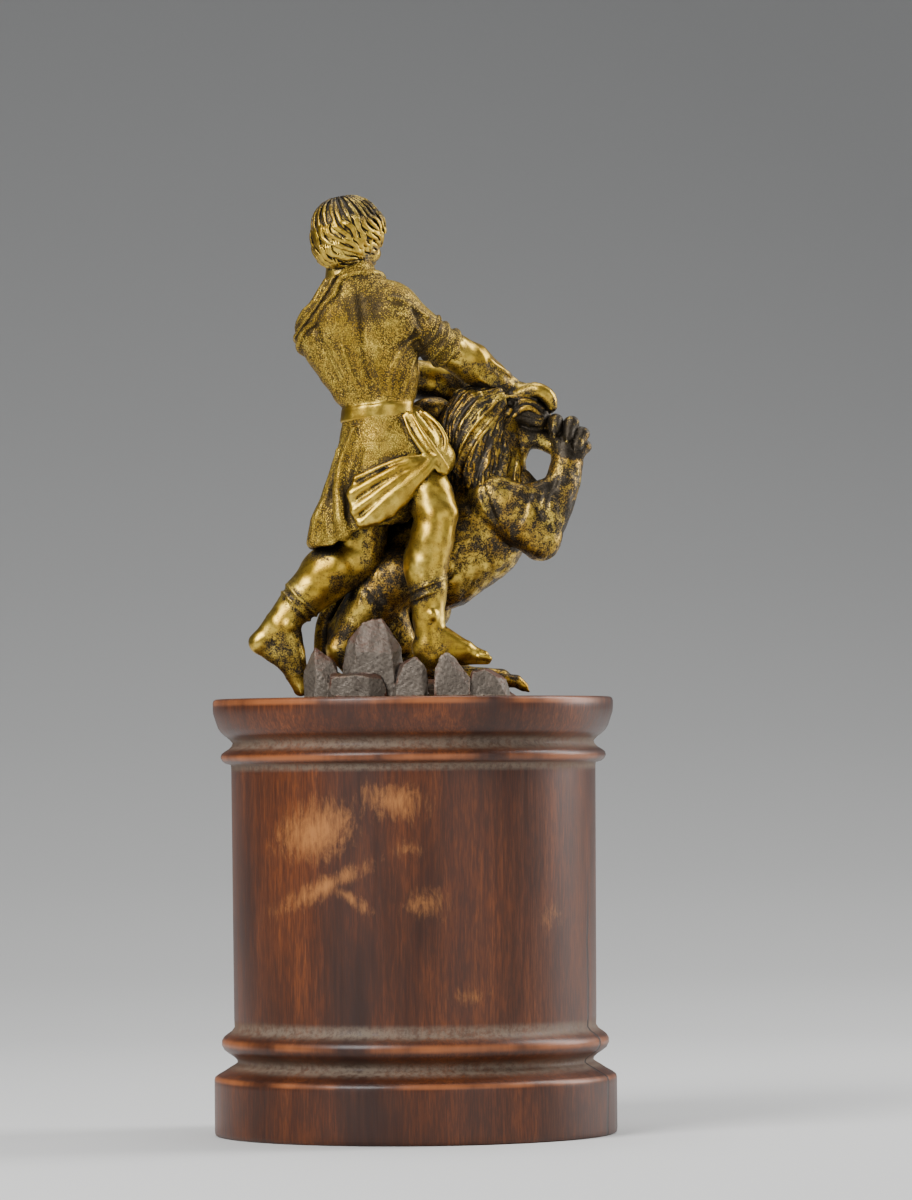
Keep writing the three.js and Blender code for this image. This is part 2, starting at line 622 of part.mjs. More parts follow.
function lionBody() {
  const trunk = melt(
    3,
    chain([-3, 7.6, 31, 9.6], [8, 8, 33, 10.6], [17.5, 8, 40, 10.8], [18.8, 8, 46, 10.8]),
    chain([18.8, 8, 46, 10.8], [19.6, 8, 56, 9.4], [21, 8.6, 64, 8], [21.6, 8.8, 70, 6.6]),
    chain([-6, 8, 31, 9], [1, 7.6, 37, 9.4], [10, 8, 41, 11]),
  );
  const nearLeg = melt(
    1.6,
    chain([-3, 2, 31, 8], [-9, 0.4, 25.4, 6.4], [-13.8, 0.4, 19, 4.6], [-18, 1, 12.4, 3.4]),
    chain([-11, 4, 25, 5.4], [-17.4, 5, 17, 4], [-19, 4, 12, 2.6]),
    chain([-7, 3, 24, 5], [-3.6, 5, 15, 4.2]),
    chain([-18, 1, 12.4, 3.2], [-14, 1, 6.4, 2.8], [-8.6, 0.4, 3.6, 3], [-5.4, 0, 3, 2.4]),
  );
  const farLeg = melt(
    1.6,
    chain([0, 13, 30, 8.6], [3.6, 13.4, 23, 6.2], [0.6, 10.6, 15.4, 4.5], [-0.6, 8, 10, 3.9]),
    chain([-0.6, 8, 10, 3.8], [5, 9.6, 6.6, 3.2], [14, 10.8, 5.2, 3], [23, 10, 4.6, 3.2]),
    ...[8, 10, 12].map((y) => chain([24, y, 4.6, 1.9], [27.4, y, 4, 1.7], [28.6, y, 2.8, 1.3])),
  );
  const tail = chain(
    [-10, 11, 30, 3],
    [-17.5, 10, 26.5, 2.5],
    [-21.6, 8, 20.6, 2.3],
    [-22.9, 6.6, 13.6, 2.1],
    [-22, 6, 7, 1.9],
    [-17, 6, 3.6, 2.8],
    [-12.6, 6.4, 3, 1.4],
  );
  return melt(
    1,
    within([9, 9, 45], 36, trunk),
    within([-9, 1, 17], 24, nearLeg),
    within([13, 13, 18], 26, farLeg),
    within([-17, 8, 16], 20, tail),
  );
}

function lionForelegs() {
  const near = melt(
    2,
    chain([21, 1.4, 49, 7.4], [27, -0.6, 43.6, 6], [32.2, -0.8, 39.2, 4.6]),
    chain(
      [32.2, -0.8, 39.2, 4.6],
      [36.2, 0.4, 47.6, 4.3],
      [38.2, 2.4, 54, 4.2],
      [39.2, 4.2, 59, 4],
      [39.2, 5.6, 62, 4.2],
    ),
    chain([28.6, 0, 48, 5.2], [33, 1, 50.6, 4]),
  );
  const paw = melt(
    0.8,
    egg([39.4, 5.8, 64.6], [4.9, 4.6, 4.2]),
    chain([39, 6.6, 66, 3], [35.6, 6.4, 69, 2]),
    ...[
      [36.4, 4.2, 68.6],
      [39.2, 2.8, 67.8],
      [41.6, 2.4, 65.6],
      [42.6, 2.8, 62.8],
    ].map(([x, y, z]) => egg([x, y, z], [2.1, 2.4, 2.1])),
  );
  const far = melt(
    1.4,
    chain([19, 15, 50, 7.4], [14.6, 19, 55, 5.6], [9.6, 17.6, 63, 5], [5, 13, 69, 4.8]),
    egg([2.6, 10.4, 70.4], [4.4, 4.6, 4.2]),
    ...[7.6, 10, 12.4].map((y) => egg([-0.6, y, 71.4], [1.9, 1.5, 2])),
  );
  return melt(
    0.8,
    within([32, 2, 52], 28, near),
    within([39, 5, 65], 10, paw),
    within([10, 14, 60], 24, far),
  );
}

function lionHead() {
  const head = melt(
    1.4,
    egg([22, 8.8, 71.6], [6.6, 7, 6]),
    chain([24, 9, 72.4, 4.9], [29.8, 9.6, 71.4, 4.3]),
    chain([29.4, 6.6, 70, 2.4], [31.4, 7.4, 69.4, 2]),
    chain([23, 9.4, 66.4, 4.2], [29, 9, 66, 3.2], [34, 8, 66, 2.8]),
    egg([19.4, 3.2, 74], [2.8, 1.6, 2.2]),
    egg([18.6, 14.2, 74], [2.6, 1.7, 2.2]),
    egg([25.6, 4.2, 73.6], [1.6, 1.2, 1.2]),
    egg([25.6, 13.8, 73.6], [1.6, 1.2, 1.2]),
  );
  const mouth = chain([28, 4.4, 68.2, 0.5], [35, 7.4, 68.4, 0.9]);
  return within([25, 9, 70], 14, carve(0.8, head, mouth));
}

// The mane hangs in long waving locks, given as tapered bars on the near side and plainer ones beyond.
function lionMane() {
  const near = [
    [[22, 4.4, 77, 1.4], [15.4, 3.6, 75, 2], [12, 2.6, 69, 2.2], [10.6, 1.8, 61, 1.6]],
    [[20.6, 7, 78, 1.4], [12.6, 6, 75.2, 2.3], [9.2, 5, 69, 2.3], [8.4, 4, 61, 1.6]],
    [[23.4, 3, 75.6, 1.4], [17.6, 1.8, 73, 2], [13.6, 0.4, 66.6, 2.3], [11.8, -0.2, 58, 1.6]],
    [[24.6, 2.6, 73, 1.4], [19.8, 0.8, 69.6, 2], [15.8, -0.8, 62.6, 2.3], [14, -1.2, 54, 1.6]],
    [[26, 3, 69.6, 1.3], [22.4, 0.8, 65.6, 2], [18.8, -1, 58, 2.3], [17, -1.8, 50, 1.6]],
    [[26.8, 4, 66, 1.3], [25, 1.2, 61, 1.9], [22.2, -0.4, 54, 2.2], [20.8, -1.2, 46, 1.5]],
    [[27, 6.4, 64, 1.3], [27.2, 4, 58.6, 1.7], [26, 2, 51.6, 1.9], [25, 0.8, 44, 1.4]],
  ];
  const beyond = [
    [[18, 15, 74, 1.5], [14.6, 16, 67, 2.2], [13.4, 16.6, 58, 2.4], [14.6, 16.8, 48, 1.6]],
    [[22.4, 15.4, 71, 1.5], [19.4, 16.8, 64, 2.2], [18, 17.2, 55, 2.3], [19, 17, 45.6, 1.5]],
    [[25.6, 14, 67, 1.4], [24.4, 15.4, 60, 2.1], [23.4, 15.6, 52, 2.2], [24.4, 15.2, 44, 1.5]],
  ];
  const crown = [
    [[21.4, 9, 77.4, 1.4], [16, 9, 76.2, 2.2], [12, 9, 71.6, 2.2], [10.4, 9, 63, 1.8]],
    [[20, 12.4, 77, 1.4], [14.8, 12.8, 74.6, 2.1], [11.6, 13, 69.4, 2.2], [10.6, 13.2, 60, 1.7]],
  ];
  const underlay = chain([18.4, 8.8, 71.6, 6.8], [16.4, 8.4, 62, 8], [16.6, 8.4, 50, 9]);
  const locks = [...near, ...beyond, ...crown].map((stations) => chain(...stations));
  return within([19, 8, 60], 24, melt(1, underlay, ...locks));
}

function groupField() {
  const man = melt(0.8, manHead(), manTrunk(), manArms(), manSkirt(), manLegs());
  const lion = melt(0.8, lionBody(), lionForelegs(), lionHead(), lionMane());
  const both = melt(0.5, man, lion);
  return (x, y, z) => Math.max(both(x, y, z), -z);
}

const bronzeField = groupField();

function manAndLion() {
  const full = mainShell(surfaceOf(bronzeField, [-45, -25, -2], [49, 32, 130], bronze.fineCell));
  const mesh = thin(full, bronze.triangles);
  mesh.points.forEach((point) => (point[2] = Math.max(point[2], 0)));
  const geometry = geometryOf(mesh);
  return named("man_and_lion", geometry, gilt);
}

// Each rock is the hull of a few corners, like a block broken along flat faces.
const rockCorners = {
  left: [
    [-24.2, -9, 13], [-27, -8, 7], [-27, -9, 0], [-27, -2, 0],
    [-18.6, -10.4, 9], [-18, -9, 0], [-24.4, -12.4, 0],
    [-19, -12.4, 0], [-23.6, -12, 8.4], [-22, -2, 9], [-26, -1.6, 6], [-19, -2, 0],
  ],
  middle: [
    [-6.8, -9.4, 20.2], [-12.2, -9.8, 19], [-15.8, -9.4, 14.5],
    [-17.6, -9, 9], [-17.6, -9, 0], [-2.6, -10.4, 13],
    [-2, -10, 0], [-15, -12.6, 11.5], [-5, -13, 11], [-4, -13, 0],
    [-16, -12.6, 0], [-8, -4, 17], [-14, -4, 13],
    [-15, -3, 0], [-3, -3, 0], [-4, -4, 12],
  ],
  step: [
    [-20.7, -16, 0], [-10.8, -16.4, 0], [-20.2, -16, 5.2],
    [-10.8, -16.2, 5.7], [-20.5, -11, 6.3], [-8, -11.4, 6],
    [-6.5, -14, 4.5], [-6.2, -13.6, 0], [-20.7, -10, 0],
  ],
  inner: [
    [-4.8, -17, 0], [3.8, -17.6, 0], [-3, -16.6, 7.5],
    [-1.8, -15.4, 9.3], [1, -16.4, 10.2], [3.9, -16.8, 7],
    [4.2, -11, 0], [-5, -10, 0], [-3.4, -9.5, 8], [1, -9.8, 8],
  ],
  point: [
    [5.5, -19.4, 0], [14.3, -18.8, 0], [5.4, -18.8, 7.3],
    [7.2, -18.2, 11.5], [9, -18, 12.2], [11.8, -18, 8.3],
    [14.3, -17.8, 5], [14.6, -12, 0], [14, -13, 4], [6, -12, 0], [6, -14, 6], [9, -16.6, 10],
  ],
  rubble: [
    [13.4, -17.4, 0], [23.4, -15.6, 0], [24.4, -10, 0], [14, -6, 0],
    [22, -5, 0], [14.4, -16, 6.2], [19.6, -15, 7.1],
    [23.4, -13, 4.6], [15, -8, 6.8], [20.4, -8, 6.4],
  ],
  slab: [
    [-24, -10, 0], [-22, 4, 0], [-15, 17, 0], [2, 21, 0],
    [18, 19, 0], [25.6, 11, 0], [26.4, 5, 0], [23, -12, 0],
    [-22, -9, 2], [-20, 4, 2.2], [-13.6, 15.4, 2.4], [2, 19.4, 2.4],
    [17, 17.4, 2.2], [24.4, 10, 1.8], [21.6, -10, 2],
  ],
  backLeft: [
    [-17, 11, 0], [-15, 18, 0], [-6, 20, 0], [-4, 12, 0],
    [-15, 13, 8], [-13, 16.4, 6], [-8, 16, 9], [-6, 13, 6.6],
  ],
  backRight: [
    [-3, 16, 0], [1, 22, 0], [11, 21, 0], [13, 17, 0],
    [0, 18, 5.6], [2.6, 20.4, 4.4], [9, 19.8, 6.6], [10.8, 17.6, 5],
  ],
  behind: [
    [11, 14.6, 0], [13, 20, 0], [20, 18.8, 0], [22, 14.6, 0],
    [12.6, 16, 3.6], [15, 18, 4.2], [19, 17.4, 3.4],
  ],
  core: [
    [-14, -6, 0], [12, -8, 0], [20, 2, 0], [14, 12, 0],
    [-12, 10, 0], [-11, -4, 5], [8, -6, 4.4], [14, 2, 4],
    [9, 9, 4.6], [-9, 8, 5.4],
  ],
};

function rockGround() {
  const cutter = (x, y, z) => Math.max(bronzeField(x, y, z) - bronze.rockGap, z - bronze.rockCutterTop);
  const grown = thin(
    surfaceOf(cutter, [-46, -26, -3], [42, 33, bronze.rockCutterTop + 3], bronze.rockCell),
    bronze.rockCutterTriangles,
  );
  const room = solidOf(geometryOf(grown));
  let ground = null;
  for (const corners of Object.values(rockCorners)) {
    const block = solidOf(new ConvexGeometry(corners.map((corner) => new THREE.Vector3(...corner))));
    ground = ground ? ground.add(block) : block;
  }
  const pieces = ground.subtract(room).decompose();
  pieces.sort((a, b) => b.volume() - a.volume());
  return named("rock_ground", geometryOfSolid(pieces[0]), stone);
}

const gilt = new THREE.MeshStandardMaterial({ color: 0x9a7428, roughness: 0.38, metalness: 1 });
const stone = new THREE.MeshStandardMaterial({ color: 0x57483f, roughness: 0.75, metalness: 0.2 });
const wood = new THREE.MeshStandardMaterial({ color: 0x5a2413, roughness: 0.35, metalness: 0 });

function named(name, geometry, material) {
  const mesh = new THREE.Mesh(geometry, material);
  mesh.name = name;
  return mesh;
}

function turnedStand() {
  const { height, plateRadius, plinthRadius, shaftRadius, beadRadius } = stand;
  const { upperNeckRadius, lowerNeckRadius } = stand;
  const profile = [
    [0, 0],
    [plinthRadius - 0.4, 0],
    [plinthRadius, 0.4],
    [plinthRadius, 14],
    [plinthRadius - 1, 15.1],
    [lowerNeckRadius + 1.9, 16.9],
    [lowerNeckRadius, 18.1],
    [lowerNeckRadius + 2.1, 20.4],
    [beadRadius + 0.15, 22.7],
    [beadRadius, 24],
    [beadRadius - 0.9, 24.9],
    [shaftRadius - 0.2, 26.9],
    [shaftRadius + 0.2, 92.2],
    [beadRadius - 0.5, 93],
    [beadRadius, 94.2],
    [beadRadius - 1.2, 95.5],
    [upperNeckRadius + 0.5, 96.7],
    [upperNeckRadius, 97.5],
    [upperNeckRadius + 2.6, 99.9],
    [upperNeckRadius + 3.7, 101.3],
    [plateRadius, 105],
    [plateRadius, height - 0.7],
    [plateRadius - 0.7, height],
    [0, height],
  ].map(([radius, z]) => new THREE.Vector2(radius, z));
  const turned = new THREE.LatheGeometry(profile, stand.sides);
  turned.rotateX(Math.PI / 2);
  return named("turned_stand", turned, wood);
}

const group = new THREE.Group();
const onTop = new THREE.Group();
onTop.position.z = stand.height;
onTop.add(manAndLion(), rockGround());
group.add(turnedStand(), onTop);

export default group;
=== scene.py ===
# A small gilt bronze of a man and a lion on broken rock, on a turned wooden stand.
# The figures are worked out as distance fields: a shape is a function of place that is negative inside.
import bpy
import json
import math
import numpy as np
from mathutils import Euler, Matrix, Vector

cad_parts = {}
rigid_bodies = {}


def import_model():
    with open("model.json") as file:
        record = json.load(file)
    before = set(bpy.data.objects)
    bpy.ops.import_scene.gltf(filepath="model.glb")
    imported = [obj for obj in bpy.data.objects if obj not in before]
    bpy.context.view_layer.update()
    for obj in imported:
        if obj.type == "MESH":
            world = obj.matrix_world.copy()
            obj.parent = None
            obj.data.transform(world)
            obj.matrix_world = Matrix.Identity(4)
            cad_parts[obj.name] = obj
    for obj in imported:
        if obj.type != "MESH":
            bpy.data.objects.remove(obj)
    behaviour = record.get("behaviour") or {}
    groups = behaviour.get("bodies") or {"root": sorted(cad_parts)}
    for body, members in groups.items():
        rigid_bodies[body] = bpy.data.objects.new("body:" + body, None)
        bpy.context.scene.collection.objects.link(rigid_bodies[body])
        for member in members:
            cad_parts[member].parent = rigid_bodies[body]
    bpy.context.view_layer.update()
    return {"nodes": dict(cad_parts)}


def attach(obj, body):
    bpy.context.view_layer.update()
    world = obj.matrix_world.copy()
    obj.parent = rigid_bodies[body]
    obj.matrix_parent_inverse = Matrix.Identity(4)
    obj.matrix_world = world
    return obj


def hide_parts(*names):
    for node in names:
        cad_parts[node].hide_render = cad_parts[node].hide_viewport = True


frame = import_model()
for spare in [o for o in bpy.data.objects if o.name in ("Cube", "Light", "Camera")]:
    bpy.data.objects.remove(spare)
print("stage: frame loaded", len(frame["nodes"]), "nodes")

standHeight = 108.5  # mm, and the bronze is measured from the middle of the stand's top
randomNumbers = np.random.default_rng(7)


def smoothstep(low, high, value):
    t = np.clip((value - low) / (high - low), 0, 1)
    return t * t * (3 - 2 * t)


# Distance fields. A field reads a batch of places close together, and may answer with one number if it is far off.

class Places:
    def __init__(self, x, y, z):
        self.x, self.y, self.z = x, y, z
        self.low = np.array((x.min(), y.min(), z.min()))
        self.high = np.array((x.max(), y.max(), z.max()))

    # How far each middle lies outside the box of these places.
    def gaps(self, middles):
        return np.sqrt((np.maximum(np.maximum(self.low - middles, middles - self.high), 0) ** 2).sum(-1))


# A field that is only worked out near its own ball.
def nearOnly(centre, radius, shape, margin=4.0):
    centre = np.asarray(centre, float)

    def field(p):
        gap = float(p.gaps(centre)) - radius
        return gap if gap > margin else shape(p)
    return field


# Tapered round bars: each place's distance to the nearest bar. Bars far from a batch are left out.
def bars(starts, ends, margin):
    along = (ends - starts)[:, :3].astype(float)
    length2 = np.maximum((along ** 2).sum(1), 1e-9)
    middles = (starts + ends)[:, :3] / 2.0
    reaches = np.sqrt(length2) / 2 + np.maximum(starts[:, 3], ends[:, 3])
    table = [[float(v) for v in (*a, b[3] - a[3], *way, size)] for a, b, way, size in zip(starts, ends, along, length2)]

    def field(p):
        gaps = p.gaps(middles) - reaches
        near = np.flatnonzero(gaps < margin)
        if not len(near):
            return float(gaps.min())
        best = None
        for i in near:
            ax, ay, az, ar, grow, dx, dy, dz, size = table[i]
            x, y, z = p.x - ax, p.y - ay, p.z - az
            t = x * (dx / size)
            t += y * (dy / size)
            t += z * (dz / size)
            np.minimum(np.maximum(t, 0, out=t), 1, out=t)
            x -= t * dx
            y -= t * dy
            z -= t * dz
            x *= x
            x += y * y
            x += z * z
            d = np.sqrt(x, out=x)
            d -= ar
            d -= t * grow
            best = d if best is None else np.minimum(best, d, out=best)
        return np.minimum(best, margin, out=best) if len(near) < len(gaps) else best
    return field


# A chain of tapered round bars through stations [x, y, z, radius].
def chain(*stations):
    s = np.array(stations, np.float32)
    return bars(s[:-1], s[1:], 4.0)


# Many tapered strands at once, as an array of strands by stations by (x, y, z, radius).
def strands(rows):
    rows = np.array(rows, np.float32)
    return bars(rows[:, :-1].reshape(-1, 4), rows[:, 1:].reshape(-1, 4), 1.2)


# An ellipsoid with half sizes along its own axes: its level number less one, over the slope of that number.
def egg(centre, half, axes=((1, 0, 0), (0, 1, 0), (0, 0, 1))):
    cx, cy, cz = map(float, centre)
    rows = [(float(h), *map(float, axis)) for h, axis in zip(half, axes)]

    def field(p):
        x, y, z = p.x - cx, p.y - cy, p.z - cz
        near, slope = 0, 0
        for h, ax, ay, az in rows:
            q = (x * (ax / h) + y * (ay / h) + z * (az / h)) ** 2
            near = near + q
            slope = slope + q / (h * h)
        near = np.sqrt(near)
        return near * (near - 1) / np.maximum(np.sqrt(slope), 1e-6)
    return nearOnly(centre, float(max(half)), field)


# A body with oval level sections. Each row is [height, x centre, x half, y centre, y half], lowest first.
def ovalLoft(rows, rounding):
    rows = np.asarray(rows, np.float32)
    low, high = rows[0, 0], rows[-1, 0]

    def field(p):
        level = np.clip(p.z, low, high)
        i = np.clip(np.searchsorted(rows[:, 0], level), 1, len(rows) - 1)
        s = (level - rows[i - 1, 0]) / (rows[i, 0] - rows[i - 1, 0])
        t = s * s * (3 - 2 * s) * 0.5 + s * 0.5
        cx, hx, cy, hy = [rows[i - 1, k] + (rows[i, k] - rows[i - 1, k]) * t for k in (1, 2, 3, 4)]
        px = (p.x - cx) / hx
        py = (p.y - cy) / hy
        near = np.hypot(px, py)
        side = near * (near - 1) / np.maximum(np.hypot(px / hx, py / hy), 1e-6)
        end = np.maximum(low - p.z, p.z - high)
        out = np.hypot(np.maximum(side + rounding, 0), np.maximum(end + rounding, 0))
        return np.minimum(np.maximum(side, end) + rounding, 0) + out - rounding
    middle = rows[:, [1, 3]].mean(0)
    reach = np.hypot((high - low) / 2, (rows[:, [2, 4]].max(0) + np.abs(rows[:, [1, 3]] - middle).max(0)).max())
    return nearOnly((*middle, (low + high) / 2), float(reach), field)


# The lesser of two fields, with a fillet of about k where they cross.
def softMin(a, b, k):
    return np.minimum(a, b) - np.maximum(k - np.abs(a - b), 0) ** 2 / (4 * k)


def melt(k, *shapes):
    def field(p):
        found = [shape(p) for shape in shapes]
        near = [d for d in found if isinstance(d, np.ndarray)]
        far = min([d for d in found if not isinstance(d, np.ndarray)], default=1e3)
        if not near:
            return far
        d = near[0]
        for other in near[1:]:
            d = softMin(d, other, k)
        return np.minimum(d, far) if far < 1e3 else d
    return field


# A shape with tools' room taken out of it.
def carve(k, shape, *tools):
    def field(p):
        d = shape(p)
        if isinstance(d, np.ndarray):
            for tool in tools:
                room = tool(p)
                if isinstance(room, np.ndarray):
                    d = -softMin(-d, room, k)
        return d
    return field


# Slow random unevenness of about one unit, from waves in many directions.
def wander(length, seed):
    waves = np.random.default_rng(seed)
    ways = waves.normal(size=(9, 3))
    ways *= (2 * math.pi / length * waves.uniform(0.6, 1.7, 9) / np.linalg.norm(ways, axis=1))[:, None]
    rows = [tuple(map(float, (*way, start))) for way, start in zip(ways, waves.uniform(0, 6.3, 9))]

    def field(p):
        return sum(np.sin(p.x * a + p.y * b + p.z * c + start) for a, b, c, start in rows) / 2.6
    return field


# A shape made slightly uneven by hand: the length of the unevenness and its amount, in mm.
def uneven(shape, length, amount, seed):
    wave = wander(length, seed)

    def field(p):
        d = shape(p)
        return d + amount * wave(p) if isinstance(d, np.ndarray) else d
    return field


# A shape with its surface moved outwards, or inwards below 0.
def grown(shape, amount):
    return lambda p: shape(p) - amount


def aboveGround(shape):
    return lambda p: np.maximum(shape(p), -p.z)


# A round band about a limb.
def band(middle, direction, radius, half):
    along = np.asarray(direction, float) / np.linalg.norm(direction)
    across = np.cross((0, 1, 0), along)
    across /= np.linalg.norm(across)
    return egg(middle, (half, radius, radius), (along, across, np.cross(along, across)))


# Reads a field at rows (x, y, z), in batches from one small room after another.
def readField(field, rows, room=8.0):
    key = np.floor((rows - rows.min(0)) / room).astype(np.int64) @ (1, 1000, 1000000)
    order = np.argsort(key, kind="stable")
    cuts = np.flatnonzero(np.diff(key[order])) + 1
    values = np.empty(len(rows), np.float32)
    for part in np.split(order, cuts):
        values[part] = field(Places(*np.ascontiguousarray(rows[part].T, np.float32)))
    return values


# The field's slope at places, from four readings.
def slopeOf(field, p, step=0.08):
    here = readField(field, p)
    slope = np.empty_like(p)
    for k in range(3):
        moved = p.copy()
        moved[:, k] += step
        slope[:, k] = (readField(field, moved) - here) / step
    return here, slope


# Moves places along the slope until they lie lift outside the surface.
def settle(field, p, lift=0.0, turns=3):
    p = np.array(p, np.float32)
    for _ in range(turns):
        here, slope = slopeOf(field, p)
        p -= ((here - lift) / np.maximum((slope ** 2).sum(1), 0.3))[:, None] * slope
    return p


# Points along a smooth curve through the given ones (a Catmull-Rom curve), with each value carried along.
def smoothCurve(points, perSpan):
    c = np.asarray(points, np.float32)
    c = np.vstack([2 * c[0] - c[1], c, 2 * c[-1] - c[-2]])
    t = np.linspace(0, 1, perSpan, endpoint=False)[:, None]
    spans = []
    for i in range(1, len(c) - 2):
        a, b, d, e = c[i - 1], c[i], c[i + 1], c[i + 2]
        spans.append(0.5 * (2 * b + (d - a) * t + (2 * a - 5 * b + 4 * d - e) * t ** 2
                            + (3 * b - a - 3 * d + e) * t ** 3))
    return np.vstack(spans + [c[-2:-1]])


# Stations [x, y, z, radius] made into a smooth curve laid on a surface.
def laid(field, stations, lift=0.0, perSpan=3):
    curve = smoothCurve(stations, perSpan)
    curve[:, :3] = settle(field, curve[:, :3], lift)
    return curve


# A mesh of the zero surface: one point in every grid cell that the surface crosses, joined across each crossed edge.
def surfaceOf(field, low, high, cell):
    block = 4
    low = np.asarray(low, np.float32)
    blocks = np.ceil((np.asarray(high) - low) / (cell * block)).astype(int)
    ids = np.stack(np.meshgrid(*[np.arange(n) for n in blocks], indexing="ij"), -1).reshape(-1, 3)
    middles = (low + (ids + 0.5) * block * cell).astype(np.float32)
    rough = readField(field, middles, 12.0)
    size = blocks * block
    values = np.repeat(np.repeat(np.repeat(rough.reshape(blocks), block, 0), block, 1), block, 2)
    values = np.ascontiguousarray(values, np.float32)
    near = ids[np.abs(rough) < cell * block * 1.25 + 0.4]
    inner = np.stack(np.meshgrid(*[np.arange(block)] * 3, indexing="ij"), -1).reshape(-1, 3)
    nodes = (near[:, None] * block + inner).reshape(-1, 3)
    values[tuple(nodes.T)] = readField(field, (low + nodes * cell).astype(np.float32))
    inside = values < 0
    mixed = np.zeros(size - 1, bool)
    first = inside[:-1, :-1, :-1]
    corners = [(x, y, z) for x in (0, 1) for y in (0, 1) for z in (0, 1)]
    for x, y, z in corners[1:]:
        mixed |= inside[x:size[0] - 1 + x, y:size[1] - 1 + y, z:size[2] - 1 + z] != first
    cells = np.argwhere(mixed)
    total = np.zeros((len(cells), 3), np.float32)
    count = np.zeros(len(cells), np.float32)
    for a in corners:
        for axis in range(3):
            if a[axis]:
                continue
            b = np.array(a) + np.eye(3, dtype=int)[axis]
            va = values[tuple((cells + a).T)]
            vb = values[tuple((cells + b).T)]
            crossed = (va < 0) != (vb < 0)
            t = np.where(crossed, va / np.where(crossed, va - vb, 1), 0)
            place = np.asarray(a, np.float32) + t[:, None] * (b - a)
            total += place * crossed[:, None]
            count += crossed
    points = low + (cells + total / count[:, None]) * cell
    number = np.full(size - 1, -1, np.int32)
    number[tuple(cells.T)] = np.arange(len(cells))
    quads = []
    for axis in range(3):
        u, v = np.eye(3, dtype=int)[(axis + 1) % 3], np.eye(3, dtype=int)[(axis + 2) % 3]
        step = np.eye(3, dtype=int)[axis]
        end = [slice(None)] * 3
        end[axis] = slice(0, -1)
        start = [slice(None)] * 3
        start[axis] = slice(1, None)
        e = np.argwhere(inside[tuple(end)] != inside[tuple(start)])
        e = e[(e > 0).all(1) & (e < size - 1).all(1)]
        around = np.stack([number[tuple((e - d).T)] for d in (0 * u, u, u + v, v)], 1)
        outward = inside[tuple(e.T)]
        around[~outward] = around[~outward][:, ::-1]
        quads.append(around)
    quads = np.vstack(quads)
    quads = quads[(quads >= 0).all(1)]
    return points.astype(np.float32), quads


# The man's head, on its own axes: forward, to his right, and up from the middle of the skull.
head = dict(
    centre=(-14.8, -1.5, 115.2), forward=(0.62, 0.76, -0.18), cell=0.22,
    capHalf=(10.0, 8.7, 8.6), crown=(-0.42, -0.12, 0.9),
    rows=[  # from and to angle below the crown, locks, strand radius, lift, curl at the end
        (5, 68, 27, 0.3, 0.14, 0.05), (52, 96, 27, 0.31, 0.26, 0.16), (80, 117, 26, 0.31, 0.24, 0.3),
        (102, 133, 24, 0.3, 0.18, 0.42), (120, 146, 18, 0.3, 0.06, 0.5)],
)
headCentre = np.array(head["centre"])
headForward = np.array(head["forward"]) / np.linalg.norm(head["forward"])
headSide = np.cross(headForward, (0, 0, 1)); headSide /= np.linalg.norm(headSide)
headUp = np.cross(headSide, headForward)
headAxes = np.array([headForward, headSide, headUp])


# A place given on the head's axes, in the figure's own.
def onHead(forward, side, up, *rest):
    return (*(headCentre + np.array((forward, side, up)) @ headAxes), *rest)


